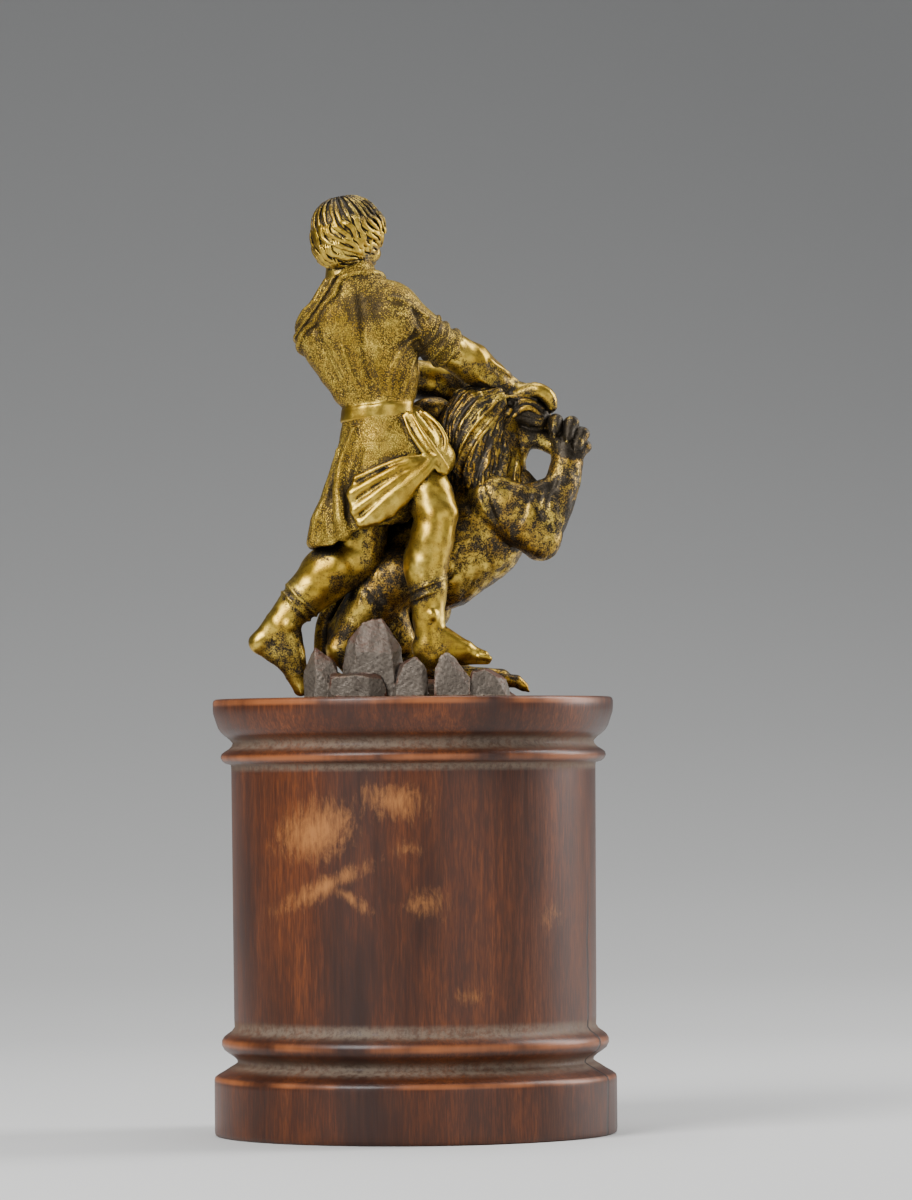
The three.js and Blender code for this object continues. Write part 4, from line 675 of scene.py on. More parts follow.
def lionFields():
    trunk = melt(
        3,
        chain((-3, 7.6, 31, 9.6), (8, 8, 33, 10.6), (17.5, 8, 40, 10.8), (18.8, 8, 46, 10.8)),
        chain((18.8, 8, 46, 10.8), (19.6, 8, 56, 9.4), (21, 8.6, 64, 8), (21.6, 8.8, 70, 6.6)),
        chain((-6, 8, 31, 9), (1, 7.6, 37, 9.4), (10, 8, 41, 11)))
    nearLeg = melt(
        1.6,
        chain((-3, 2, 31, 8), (-9, 0.4, 25.4, 6.4), (-13.8, 0.4, 19, 4.6), (-18, 1, 12.4, 3.4)),
        chain((-11, 4, 25, 5.4), (-17.4, 5, 17, 4), (-19, 4, 12, 2.6)), chain((-7, 3, 24, 5), (-3.6, 5, 15, 4.2)),
        chain((-18, 1, 12.4, 3.2), (-14, 1, 6.4, 2.8), (-8.6, 0.4, 3.6, 3), (-5.4, 0, 3, 2.4)))
    farLeg = melt(
        1.2,
        chain((0, 13, 30, 8.6), (3.6, 13.4, 23, 6.2), (0.6, 10.6, 15.4, 4.5), (-0.6, 8, 10, 3.9)),
        chain((-0.6, 8, 10, 3.8), (5, 9.6, 6.6, 3.2), (14, 10.8, 5.2, 3), (22, 10, 4.4, 2.9)))
    farToes = []
    for y in (7.4, 9.2, 11, 12.8):
        farToes += [chain((22.6, y, 4.4, 1.7), (26.0, y, 4.2, 1.5), (27.8, y, 2.8, 1.15)),
                    chain((28.2, y, 2.4, 0.6), (29.2, y, 1.5, 0.2))]
    farLeg = melt(0.35, farLeg, *farToes)
    tail = melt(0.8, chain(*smoothCurve([(-10, 11, 30, 3), (-17.5, 10, 26.5, 2.4), (-21.6, 8, 20.6, 2.1), (-22.9, 6.6, 13.6, 1.9),
                                        (-22, 6, 7, 1.8), (-17, 6, 3.6, 2.2)], 3)),
                *[chain(*smoothCurve([(-21.4, 6 + s, 6, 0.9), (-17.6, 6 + 1.4 * s, 3.6, 1.1), (-13 - 0.5 * s, 6.4 + 1.1 * s, 2.4, 0.5)], 3))
                  for s in (-0.9, 0, 0.9)])
    near = melt(
        2,
        chain((21, 1.4, 49, 7.4), (27, -0.6, 43.6, 6), (32.2, -0.8, 39.2, 4.6)),
        chain((32.2, -0.8, 39.2, 4.6), (36.2, 0.4, 47.6, 4.3), (38.2, 2.4, 54, 4.2), (39.2, 4.2, 59, 4), (39.2, 5.6, 62, 4.2)),
        chain((28.6, 0, 48, 5.2), (33, 1, 50.6, 4)))
    paw = melt(0.9, egg((39.2, 6.4, 64.8), (4.7, 4.4, 4.2)), chain((39, 6.8, 66, 3), (35.6, 6.6, 68.6, 2)))
    toeRows = [((36.6, 3.8, 69.2), (36.2, 1.5, 66.8)), ((40.4, 3.2, 68.6), (39.4, 0.9, 65.2)),
               ((43.0, 3.4, 66.0), (41.6, 1.1, 62.9)), ((43.4, 4.4, 62.8), (42.0, 2.6, 60.6))]
    for knuckle, tip in toeRows:
        knuckle, tip = np.array(knuckle), np.array(tip)
        paw = melt(0.22, paw, chain((*(knuckle + (-0.4, 2.4, 0.4)), 1.7), (*knuckle, 1.85), (*tip, 1.3)))
        way = (tip - knuckle) / np.linalg.norm(tip - knuckle)
        paw = melt(0.1, paw, chain((*(tip + way * 0.8), 0.6), (*(tip + way * 1.7 + (0, -0.1, -0.1)), 0.45), (*(tip + way * 2.3 + (-0.1, 0.3, -0.5)), 0.15)))
    far = melt(
        1.4, chain((19, 15, 50, 7.4), (14.6, 19, 55, 5.6), (9.6, 17.6, 63, 5), (5, 13, 69, 4.8)), egg((2.6, 10.4, 70.4), (4.4, 4.6, 4.2)))
    far = melt(0.3, far, *[chain((1.6, y, 71.2, 1.7), (-1.0, y, 71.8, 1.45), (-2.0, y, 70.6, 1.1)) for y in (7.2, 9.1, 11, 12.8)])
    under = egg((5.4, 9.4, 72.4), (5.4, 4, 3.6))
    corners = melt(1, chain((27.6, 4, 54.4, 3), (30.6, 3.4, 52.0, 2.2)), chain((34.4, 3, 52.4, 2), (35.8, 3.4, 55.4, 1.6)))
    body = melt(0.9, trunk, nearLeg, farLeg, tail, under, corners, melt(0.8, near, paw, far))
    muscles = melt(
        1.4, egg((24.6, -2.2, 47.6), (5.2, 3.4, 7.2), ((0.6, 0, -0.8), (0, 1, 0), (0.8, 0, 0.6))),
        egg((-4.4, -3.6, 29.4), (6.4, 3.4, 5.4)), egg((2.6, 17.4, 30), (7, 3.6, 6)), egg((34.4, -2.6, 46), (2.4, 2.6, 5), ((1, 0, 0), (0, 1, 0), (0.3, 0, 0.95))))
    body = melt(1.2, body, muscles)
    lines = [chain(*laid(body, rows, 0.2)) for rows in (
        [(30.4, -6, 52, 0.3), (28.6, -7, 47, 0.8), (26.0, -8, 42, 0.9), (24.6, -8, 37, 0.4)],
        [(17.6, -4, 54, 0.4), (19, -6, 48, 0.7), (20.6, -7, 43, 0.3)],
        [(13, -4, 33, 0.3), (8.4, -4, 29, 0.7), (4, -5, 25.4, 0.4)],
        [(34.8, -5, 41.4, 0.3), (33.6, -5, 46.6, 0.5), (34.8, -4.6, 51.4, 0.4), (36, -3.6, 56, 0.3)],
        [(-12, -5, 27, 0.3), (-8.4, -6, 22, 0.6), (-7.4, -4, 16, 0.4)])]
    body = carve(1.0, body, *lines)

    # Short chisel strokes that follow the coat, on the chest, flank, haunch and legs.
    spots = randomNumbers.uniform((-14, -11, 8), (42, 18, 66), (lion["strokes"] * 3, 3)).astype(np.float32)
    spots = settle(body, spots, 0, 4)
    spots = spots[(spots[:, 2] > 7) & (np.abs(readField(body, spots)) < 0.1)][:lion["strokes"]]
    down = np.array((-0.35, 0, -0.94)) + randomNumbers.normal(0, 0.22, (len(spots), 3))
    _, out = slopeOf(body, spots)
    out /= np.linalg.norm(out, axis=1)[:, None]
    down -= (down * out).sum(1)[:, None] * out
    down /= np.linalg.norm(down, axis=1)[:, None]
    s = np.linspace(-0.5, 0.5, 4)[None, :, None]
    length = lion["strokeLength"] * randomNumbers.uniform(0.6, 1.3, (len(spots), 1, 1))
    rows = settle(body, (spots[:, None] + down[:, None] * s * length).reshape(-1, 3), -0.22).reshape(-1, 4, 3)
    width = np.broadcast_to(lion["strokeRadius"] * np.array((0.35, 0.9, 1, 0.4)), rows.shape[:2])
    strokes = strands(np.concatenate([rows, width[..., None]], 2))
    field = melt(0.25, body, strokes)
    return aboveGround(uneven(field, 5, 0.08, 21))


# The lion's head and its mane of long waving locks.
mane = dict(cell=0.3, box=((3, -7, 40), (38, 22, 83)), strokes=900, strokeLength=5.5, strokeRadius=0.3, wave=0.25)


def lionHeadField():
    slant = ((0.95, 0, -0.3), (0, 1, 0), (0.3, 0, 0.95))
    skull = melt(
        1.2, egg((21.6, 8.8, 71.8), (6.4, 7, 6)), egg((28.8, 8.2, 72.0), (5.9, 5.4, 4.3), slant),
        egg((32.6, 8.4, 70.8), (2.6, 3.6, 2.9), slant), egg((31.4, 5.4, 69.4), (2.8, 2.2, 2.2), slant), egg((31.4, 11.4, 69.4), (2.8, 2.2, 2.2), slant))
    jaw = melt(1.0, chain((21, 6.4, 65.6, 3.8), (27, 6.4, 65.4, 2.9), (33, 7.4, 65.2, 2.5)),
               chain((21, 11.4, 65.6, 3.8), (27, 11, 65.4, 2.9), (33, 9.4, 65.2, 2.5)), egg((25.4, 3.6, 65.2), (1.5, 1.3, 1.6)))
    ridges = [chain(*laid(skull, rows, 0.1)) for rows in (
        [(20.6, 1.6, 73.6, 0.5), (24.0, 2.4, 75.6, 0.9), (27.6, 3.8, 76.0, 0.9), (31.6, 5, 75.0, 0.6)],
        [(24.4, 2.6, 71.2, 0.5), (26.6, 2.8, 73.9, 0.8), (29.8, 3.4, 74.3, 0.8), (33.2, 4.8, 72.4, 0.5)],
        [(26.0, 2.4, 70.2, 0.5), (27.8, 2.4, 72.2, 0.75), (30.2, 2.8, 72.5, 0.75), (32.6, 4, 70.8, 0.5)],
        [(20.6, 16, 74.6, 0.5), (24, 15, 76, 0.85), (27.4, 13.2, 75.6, 0.6)],
        [(25.2, 14, 73, 0.5), (28.6, 14, 73.6, 0.7), (32.4, 12.4, 72, 0.5)])]
    head = melt(0.35, skull, *ridges)
    eyes = [egg((24.9, y, 73.9), (1.2, 0.9, 0.85)) for y in (3.9, 13.8)]
    sockets = [egg((25.0, y, 73.8), (1.8, 1.2, 1.25)) for y in (3.1, 14.6)]
    ears = []
    for x, y, z, side in ((18.6, 3.0, 74.6, -1), (18.2, 14.4, 74.4, 1)):
        ears.append(carve(0.4, egg((x, y, z), (2.6, 1.6, 2.3)), egg((x + 0.9, y + 0.9 * side, z + 0.2), (1.5, 1.0, 1.4))))
    head = melt(0.2, carve(0.5, head, *sockets), *eyes)
    creases = [chain(*laid(skull, rows, 0.12)) for rows in (
        [(25.0, 2, 74.6, 0.15), (28.2, 3, 75.2, 0.3), (32.2, 5, 73.8, 0.2)], [(25.2, 2, 72.2, 0.15), (28.8, 2.6, 72.5, 0.3), (33, 4.4, 71.2, 0.2)],
        [(26.6, 2.6, 70.2, 0.15), (29.2, 3, 70.0, 0.3), (32.6, 3.6, 69.2, 0.2)], [(34.6, 5, 72, 0.2), (34.8, 6.6, 70.6, 0.35), (34.4, 8.4, 69, 0.25)],
        [(28.2, 14, 75.2, 0.2), (32.2, 12, 73.8, 0.3)], [(28.8, 14, 72.5, 0.2), (33, 12.4, 71.2, 0.3)])]
    nostrils = [egg((34.4, y, 71.9), (0.9, 0.6, 0.6)) for y in (6.8, 9.8)]
    head = carve(0.25, melt(0.5, head, *ears), *nostrils, *creases)
    corners = melt(1.5, chain((25.4, 6.4, 59.6, 3.2), (27.8, 6.4, 63.2, 2.4)), chain((32.4, 7, 64.6, 2), (36.2, 6.4, 62.8, 2.2)))
    head = melt(1.0, melt(0.4, head, jaw), corners)
    mouth = chain((24.6, 3.2, 67.6, 0.35), (28.4, 3.4, 67.5, 0.65), (34.8, 5.6, 67.2, 0.9))
    farMouth = chain((24.6, 14.4, 67.6, 0.35), (28.4, 13.4, 67.5, 0.65), (34.8, 11.4, 67.2, 0.9))
    head = carve(0.4, head, mouth, farMouth)
    teeth = [chain((31.6 + 1.1 * i, 6 + 0.3 * i, 68.2, 0.5), (31.8 + 1.1 * i, 6 + 0.3 * i, 66.9, 0.2)) for i in range(3)]
    return nearOnly((25, 9, 70), 15, melt(0.1, head, *teeth))


def maneField():
    locks = [
        [(21, 4.4, 77, 1.4), (15.4, 3.6, 75, 2), (12, 2.6, 69, 2.2), (10.6, 1.8, 61, 1.6)],
        [(20, 7, 78, 1.4), (12.6, 6, 75.2, 2.3), (9.2, 5, 69, 2.3), (8.4, 4, 61, 1.6)],
        [(22, 3, 75.6, 1.4), (17.6, 1.8, 73, 2), (13.6, 0.4, 66.6, 2.3), (11.8, -0.2, 58, 1.6)],
        [(22.6, 2.6, 73, 1.4), (19.4, 1.0, 69.6, 2), (15.8, -0.8, 62.6, 2.3), (14, -1.2, 54, 1.6)],
        [(22.8, 3, 69.6, 1.3), (20.8, 0.9, 65.6, 2), (18.4, -1, 58, 2.3), (17, -1.8, 50, 1.6)],
        [(23.4, 4, 66, 1.3), (23.4, 1.4, 61, 1.9), (21.8, -0.4, 54, 2.2), (20.8, -1.2, 46, 1.5)],
        [(25, 5.6, 64, 1.5), (26.2, 3.4, 58.6, 1.9), (25.6, 1.6, 51.6, 2.1), (25, 0.6, 44, 1.6)],
        [(18, 15, 74, 1.5), (14.6, 16, 67, 2.2), (13.4, 16.6, 58, 2.4), (14.6, 16.8, 48, 1.6)],
        [(22.4, 15.4, 71, 1.5), (19.4, 16.8, 64, 2.2), (18, 17.2, 55, 2.3), (19, 17, 45.6, 1.5)],
        [(25.6, 14, 67, 1.4), (24.4, 15.4, 60, 2.1), (23.4, 15.6, 52, 2.2), (24.4, 15.2, 44, 1.5)],
        [(21.4, 9, 77.4, 1.4), (16, 9, 76.2, 2.2), (12, 9, 71.6, 2.2), (10.4, 9, 63, 1.8)],
        [(20, 12.4, 77, 1.4), (14.8, 12.8, 74.6, 2.1), (11.6, 13, 69.4, 2.2), (10.6, 13.2, 60, 1.7)]]
    underlay = chain((18.4, 8.8, 71.6, 6.8), (16.4, 8.4, 62, 8), (16.6, 8.4, 50, 9))
    bulk = melt(2.4, underlay, *[chain(*rows) for rows in locks])
    curves = np.concatenate([smoothCurve(rows, 5) for rows in locks])[:, :3]
    ways = np.concatenate([np.gradient(smoothCurve(rows, 5)[:, :3], axis=0) for rows in locks])
    ways /= np.linalg.norm(ways, axis=1)[:, None]

    # Combed strokes: each starts at a random spot on the mane and runs the way the nearest lock does.
    spots = randomNumbers.uniform((4, -6, 42), (30, 22, 80), (mane["strokes"] * 2, 3)).astype(np.float32)
    spots = settle(bulk, spots, 0, 4)
    spots = spots[np.abs(readField(bulk, spots)) < 0.1][:mane["strokes"]]
    nearest = ((spots[:, None] - curves) ** 2).sum(2).argmin(1)
    way = ways[nearest]
    _, out = slopeOf(bulk, spots)
    out /= np.linalg.norm(out, axis=1)[:, None]
    way = way - (way * out).sum(1)[:, None] * out
    way /= np.linalg.norm(way, axis=1)[:, None]
    across = np.cross(way, out)
    s = np.linspace(-0.5, 0.5, 6)
    length = mane["strokeLength"] * randomNumbers.uniform(0.6, 1.4, (len(spots), 1))
    bend = mane["wave"] * np.sin(2 * math.pi * (s * 0.8 + randomNumbers.uniform(0, 1, (len(spots), 1))))
    rows = spots[:, None] + way[:, None] * (s * length)[..., None] + across[:, None] * bend[..., None]
    rows = settle(bulk, rows.reshape(-1, 3), -0.1).reshape(-1, 6, 3)
    width = mane["strokeRadius"] * np.array((0.3, 0.8, 1, 1, 0.75, 0.25)) * randomNumbers.uniform(0.8, 1.25, (len(spots), 1))
    fine = strands(np.concatenate([rows, width[..., None]], 2))

    body = melt(0.12, grown(bulk, -0.12), fine)
    path = [(23.4, -2.2, 73.4, 0.6), (20.6, -2.2, 70.8, 0.9), (16.6, -3, 66.6, 1.15), (12.6, -3.4, 60, 1.2), (9.8, -3.4, 53.6, 0.9)]
    strip = chain(*laid(bulk, path, 0.15))
    rims = [chain(*laid(bulk, [(x + dx, y, z + dz, 0.42) for x, y, z, _ in path], 0.05)) for dx, dz in ((-1.0, 1.2), (1.0, -1.2))]
    furrows = [chain(*laid(bulk, rows, 0.12)) for rows in (
        [(20.6, -1, 75.8, 0.3), (15.4, -1.6, 71.4, 0.55), (12.0, -2.4, 65, 0.5), (10.0, -2, 60, 0.3)],
        [(17.4, 0, 77, 0.3), (12.6, -0.6, 72.6, 0.5), (10.2, -1, 66, 0.4)],
        [(21.6, -1, 66.8, 0.3), (18.0, -2.8, 60, 0.5), (15.6, -3.4, 52, 0.4)],
        [(24.2, -0.6, 62.6, 0.3), (22.0, -2.4, 56, 0.5), (19.4, -3.2, 48, 0.4)],
        [(26.8, 1.4, 61.6, 0.3), (25.4, -0.6, 55, 0.5), (23.4, -1.4, 47, 0.4)],
        [(14, 19, 74, 0.4), (11.6, 19, 66, 0.7), (11.4, 19, 56, 0.5)], [(19.6, 19, 72, 0.4), (16.6, 20, 64, 0.7), (16, 20, 52, 0.5)],
        [(23.4, 18, 68, 0.4), (21.4, 19, 60, 0.7), (21, 19, 50, 0.5)])]
    body = carve(0.5, melt(0.4, body, *rims), strip, *furrows)
    return nearOnly((19, 8, 60), 25, body)


# Broken rock. Each rock is the space inside a hull of a few corners, with chiselled faces.
rocks = dict(cell=0.42, box=((-28.5, -21, -0.6), (27.5, 23, 22)), chisel=0.05, struck=5, strikeDepth=(0.3, 1.0))
rockCorners = [
    [(-24.2, -9, 13), (-27, -8, 7), (-27, -9, 0), (-27, -2, 0), (-18.6, -10.4, 9), (-18, -9, 0), (-24.4, -12.4, 0),
     (-19, -12.4, 0), (-23.6, -12, 8.4), (-22, -2, 9), (-26, -1.6, 6), (-19, -2, 0)],
    [(-6.8, -9.4, 20.2), (-12.2, -9.8, 19), (-15.8, -9.4, 14.5), (-17.6, -9, 9), (-17.6, -9, 0), (-2.6, -10.4, 13),
     (-2, -10, 0), (-15, -12.6, 11.5), (-5, -13, 11), (-4, -13, 0), (-16, -12.6, 0), (-8, -4, 17), (-14, -4, 13),
     (-15, -3, 0), (-3, -3, 0), (-4, -4, 12)],
    [(-20.7, -16, 0), (-10.8, -16.4, 0), (-20.2, -16, 5.2), (-10.8, -16.2, 5.7), (-20.5, -11, 6.3), (-8, -11.4, 6),
     (-6.5, -14, 4.5), (-6.2, -13.6, 0), (-20.7, -10, 0)],
    [(-4.8, -17, 0), (3.8, -17.6, 0), (-3, -16.6, 7.5), (-1.8, -15.4, 9.3), (1, -16.4, 10.2), (3.9, -16.8, 7),
     (4.2, -11, 0), (-5, -10, 0), (-3.4, -9.5, 8), (1, -9.8, 8)],
    [(5.5, -19.4, 0), (14.3, -18.8, 0), (5.4, -18.8, 7.3), (7.2, -18.2, 11.5), (9, -18, 12.2), (11.8, -18, 8.3),
     (14.3, -17.8, 5), (14.6, -12, 0), (14, -13, 4), (6, -12, 0), (6, -14, 6), (9, -16.6, 10)],
    [(13.4, -17.4, 0), (23.4, -15.6, 0), (24.4, -10, 0), (14, -6, 0), (22, -5, 0), (14.4, -16, 6.2), (19.6, -15, 7.1),
     (23.4, -13, 4.6), (15, -8, 6.8), (20.4, -8, 6.4)],
    [(-24, -10, 0), (-22, 4, 0), (-15, 17, 0), (2, 21, 0), (18, 19, 0), (25.6, 11, 0), (26.4, 5, 0), (23, -12, 0),
     (-22, -9, 2), (-20, 4, 2.2), (-13.6, 15.4, 2.4), (2, 19.4, 2.4), (17, 17.4, 2.2), (24.4, 10, 1.8), (21.6, -10, 2)],
    [(-17, 11, 0), (-15, 18, 0), (-6, 20, 0), (-4, 12, 0), (-15, 13, 8), (-13, 16.4, 6), (-8, 16, 9), (-6, 13, 6.6)],
    [(-3, 16, 0), (1, 22, 0), (11, 21, 0), (13, 17, 0), (0, 18, 5.6), (2.6, 20.4, 4.4), (9, 19.8, 6.6), (10.8, 17.6, 5)],
    [(11, 14.6, 0), (13, 20, 0), (20, 18.8, 0), (22, 14.6, 0), (12.6, 16, 3.6), (15, 18, 4.2), (19, 17.4, 3.4)],
    [(-14, -6, 0), (12, -8, 0), (20, 2, 0), (14, 12, 0), (-12, 10, 0), (-11, -4, 5), (8, -6, 4.4), (14, 2, 4), (9, 9, 4.6), (-9, 8, 5.4)],
]


# The distance outside the planes of a hull: each plane goes through three corners with all the others behind it.
def hullField(corners):
    c = np.array(corners, float)
    i, j, k = np.array([(i, j, k) for i in range(len(c)) for j in range(i) for k in range(j)]).T
    n = np.cross(c[j] - c[i], c[k] - c[i])
    size = np.linalg.norm(n, axis=1)
    keep = size > 1e-6
    n, at = n[keep] / size[keep, None], c[i[keep]]
    n = np.vstack([n, -n])
    d = (n * np.vstack([at, at])).sum(1)
    outer = (n @ c.T <= d[:, None] + 1e-4).all(1)
    planes = np.unique(np.round(np.hstack([n, d[:, None]])[outer], 3), axis=0)
    struck = randomNumbers.normal(size=(rocks["struck"], 3)) * (1, 1, 0.7) + (0, -0.5, 0.4)
    struck /= np.linalg.norm(struck, axis=1)[:, None]
    depth = randomNumbers.uniform(*rocks["strikeDepth"], len(struck))
    planes = np.vstack([planes, np.column_stack([struck, (struck @ c.T).max(1) - depth])]).astype(np.float32)
    middle, reach = c.mean(0), np.linalg.norm(c - c.mean(0), axis=1).max()
    return nearOnly(middle, reach, lambda p: (planes[:, :3] @ np.stack([p.x, p.y, p.z]) - planes[:, 3:]).max(0))


def rockField():
    blocks = melt(0.02, *[uneven(hullField(corners), 5, 0.07, 40 + n) for n, corners in enumerate(rockCorners)])
    facets = wander(2.2, 31)

    def field(p):
        d = blocks(p)
        return d + rocks["chisel"] * (0.5 * np.abs(facets(p)) - 0.35) if isinstance(d, np.ndarray) else d
    return aboveGround(uneven(field, 1.3, 0.03, 32))


# A mesh from a field: placed on the stand, in metres, with how hollow, how ridged, how punched and how gilt each point
# is, the gold spots also carrying painted shade and a painted dark reflection.
def makePiece(name, node, field, options, material, matting=None, gildingAndShade=(), around=None, flat=False):
    low, high = options["box"]
    cell = options["cell"] * 1
    points, quads = surfaceOf(field, low, high, cell)
    here, slope = slopeOf(field, points)
    size2 = np.maximum((slope ** 2).sum(1), 0.3)
    points = points - np.clip(here / size2, -cell, cell)[:, None] * slope
    out = slope / np.maximum(np.linalg.norm(slope, axis=1), 1e-3)[:, None]
    hollow = sum(weight * (1 - readField(field, points + out * reach) / reach) for reach, weight in ((0.35, 0.5), (0.9, 0.6)))
    if around:
        hollow += 0.7 * (1 - readField(around, points + out * 3.2) / 3.2)
    ridge = 1 + readField(field, points - out * 0.7) / 0.7
    mesh = bpy.data.meshes.new(name)
    mesh.vertices.add(len(points))
    mesh.vertices.foreach_set("co", ((points + (0, 0, standHeight)) * 0.001).astype(np.float32).ravel())
    mesh.loops.add(quads.size)
    mesh.loops.foreach_set("vertex_index", quads.astype(np.int32).ravel())
    mesh.polygons.add(len(quads))
    mesh.polygons.foreach_set("loop_start", np.arange(0, quads.size, 4, dtype=np.int32))
    mesh.polygons.foreach_set("use_smooth", np.full(len(quads), not flat))
    mesh.update(calc_edges=True)
    mesh.validate()
    giltAndShade = sum([amount * smoothstep(radius, radius * 0.45, np.linalg.norm(points - (x, y, z), axis=1))
                for x, y, z, radius, amount in gildingAndShade], np.zeros(len(points)))
    layers = dict(cavity=np.clip(hollow, 0, 1.5), ridge=np.clip(ridge, 0, 1), gildingAndShade=giltAndShade,
                  matting=matting(points) if matting else np.zeros(len(points)))
    for key, values in layers.items():
        layer = mesh.attributes.new(key, "FLOAT", "POINT")
        layer.data.foreach_set("value", values.astype(np.float32))
    piece = bpy.data.objects.new(name, mesh)
    bpy.context.scene.collection.objects.link(piece)
    mesh.materials.append(material)
    finishPiece(piece, node)
    print("stage:", name, len(quads) * 2, "triangles")
    return piece


def finishPiece(piece, node):
    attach(piece, "root")
    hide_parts(node)


# Node trees. A maker adds a node, with its inputs given as values or as the outputs that feed them.
def makerFor(tree):
    def make(kind, *values, out=0, **settings):
        node = tree.nodes.new("ShaderNode" + kind)
        named = settings.pop("named", {})
        for key, value in settings.items():
            setattr(node, key, value)
        for key, value in [*enumerate(values), *named.items()]:
            if value is None:
                continue
            if isinstance(value, bpy.types.NodeSocket):
                tree.links.new(value, node.inputs[key])
            else:
                node.inputs[key].default_value = value
        return node.outputs[out]
    return make


def newGroup(name, inputs, outputs):
    tree = bpy.data.node_groups.new(name, "ShaderNodeTree")
    for label, kind, value in inputs:
        socket = tree.interface.new_socket(label, in_out="INPUT", socket_type="NodeSocket" + kind)
        if value is not None:
            socket.default_value = value
    for label, kind in outputs:
        tree.interface.new_socket(label, in_out="OUTPUT", socket_type="NodeSocket" + kind)
    start, end = tree.nodes.new("NodeGroupInput"), tree.nodes.new("NodeGroupOutput")
    return tree, makerFor(tree), start.outputs, end.inputs


def useGroup(tree, group, **values):
    node = tree.nodes.new("ShaderNodeGroup")
    node.node_tree = group
    for key, value in values.items():
        if isinstance(value, bpy.types.NodeSocket):
            tree.links.new(value, node.inputs[key])
        else:
            node.inputs[key].default_value = value
    return node.outputs


def colour(r, g, b):
    return (r, g, b, 1.0)


def mixColour(make, share, a, b, blend="MIX"):
    return make("Mix", share, None, None, None, None, None, a, b, data_type="RGBA", blend_type=blend, out=2)


def between(make, value, low, high, toLow=0.0, toHigh=1.0):
    return make("MapRange", value, low, high, toLow, toHigh, interpolation_type="SMOOTHSTEP")


# The look of worn fire gilding on bronze: which parts keep their gold, its colour, its roughness and its relief, with
# painted shade in the punched pits and in some of the given spots.
def gildingGroup():
    tree, make, given, result = newGroup(
        "worn_gilding",
        [("Gold", "Color", (0.47, 0.30, 0.030, 1)), ("Pale", "Color", (0.76, 0.55, 0.10, 1)), ("Patina", "Color", (0.024, 0.018, 0.011, 1)),
         ("Cover", "Float", 0.6), ("Mottle", "Float", 1.0), ("Mottle size", "Float", 420.0), ("Punch", "Float", 0.0)],
        [("Colour", "Color"), ("Roughness", "Float"), ("Metallic", "Float"), ("Height", "Float")])
    place = make("TexCoord", out=3)
    cavity, ridge, bias, matting = [make("Attribute", attribute_name=key, out=2) for key in ("cavity", "ridge", "gildingAndShade", "matting")]
    maths = lambda op, a, b=0.0, c=0.0: make("Math", a, b, c, operation=op)
    coarse = make("TexNoise", place, named={"Scale": 90.0, "Detail": 3.0, "Roughness": 0.6})
    fine = make("TexNoise", place, named={"Scale": given["Mottle size"], "Detail": 6.0, "Roughness": 0.72, "Distortion": 0.2})
    speck = make("TexNoise", place, named={"Scale": 2600.0, "Detail": 2.0, "Roughness": 0.6})
    dots = make("TexVoronoi", place, named={"Scale": 2500.0, "Randomness": 0.9})
    punch = maths("MULTIPLY", matting, given["Punch"])
    pits = maths("MULTIPLY", between(make, dots, 0.28, 0.62), punch)
    spread = maths("MULTIPLY_ADD", maths("SUBTRACT", fine, 0.5), maths("MULTIPLY", given["Mottle"], 2.4), given["Cover"])
    spread = maths("MULTIPLY_ADD", maths("SUBTRACT", coarse, 0.5), 1.1, spread)
    # The given spots lower the gold in places: mostly worn gold, but painted shade inside the skirt and in the lion's
    # open mouth, and partly a painted dark reflection on the back of the tunic.
    spread = maths("ADD", spread, bias)
    spread = maths("MULTIPLY_ADD", cavity, -0.95, spread)
    spread = maths("MULTIPLY_ADD", ridge, 0.35, spread)
    spread = maths("MULTIPLY_ADD", maths("SUBTRACT", speck, 0.5), 1.5, spread)
    spread = maths("MULTIPLY_ADD", pits, -0.5, spread)
    gold = between(make, spread, 0.05, 0.72)
    tint = mixColour(make, between(make, coarse, 0.35, 0.7), given["Gold"], given["Pale"])
    tint = mixColour(make, between(make, fine, 0.62, 0.42, 0.0, 0.5), tint, colour(0.30, 0.155, 0.018))
    skin = mixColour(make, between(make, speck, 0.3, 0.7), given["Patina"], colour(0.055, 0.045, 0.032))
    shade = mixColour(make, gold, skin, tint)
    # Painted shade: the punched pits are also darkened in colour, towards a dark gold, besides their bump.
    shade = mixColour(make, maths("MULTIPLY", pits, 0.6), shade, colour(0.10, 0.062, 0.012))
    tree.links.new(shade, result["Colour"])
    rough = maths("MULTIPLY_ADD", gold, -0.16, 0.5)
    rough = maths("MULTIPLY_ADD", maths("SUBTRACT", fine, 0.5), 0.3, rough)
    tree.links.new(maths("MULTIPLY_ADD", punch, 0.06, rough), result["Roughness"])
    tree.links.new(between(make, gold, 0.0, 1.0, 0.85, 1.0), result["Metallic"])
    height = maths("MULTIPLY_ADD", pits, -1.0, maths("MULTIPLY", speck, 0.16))
    height = maths("MULTIPLY_ADD", gold, 0.22, height)
    height = maths("MULTIPLY_ADD", fine, 0.35, height)
    tree.links.new(height, result["Height"])
    return tree


def newMaterial(name, **looks):
    material = bpy.data.materials.new(name)
    material.use_nodes = True
    tree = material.node_tree
    shader = tree.nodes["Principled BSDF"]
    for key, value in looks.items():
        shader.inputs[key.replace("_", " ")].default_value = value
    return material, tree, shader, makerFor(tree)


def giltMaterial(name, relief=0.5, **values):
    material, tree, shader, make = newMaterial(name)
    look = useGroup(tree, gildingLook, **values)
    tree.links.new(look["Colour"], shader.inputs["Base Color"])
    tree.links.new(look["Roughness"], shader.inputs["Roughness"])
    tree.links.new(look["Metallic"], shader.inputs["Metallic"])
    bump = make("Bump", named={"Strength": relief, "Distance": 0.00012, "Height": look["Height"]})
    tree.links.new(bump, shader.inputs["Normal"])
    return material


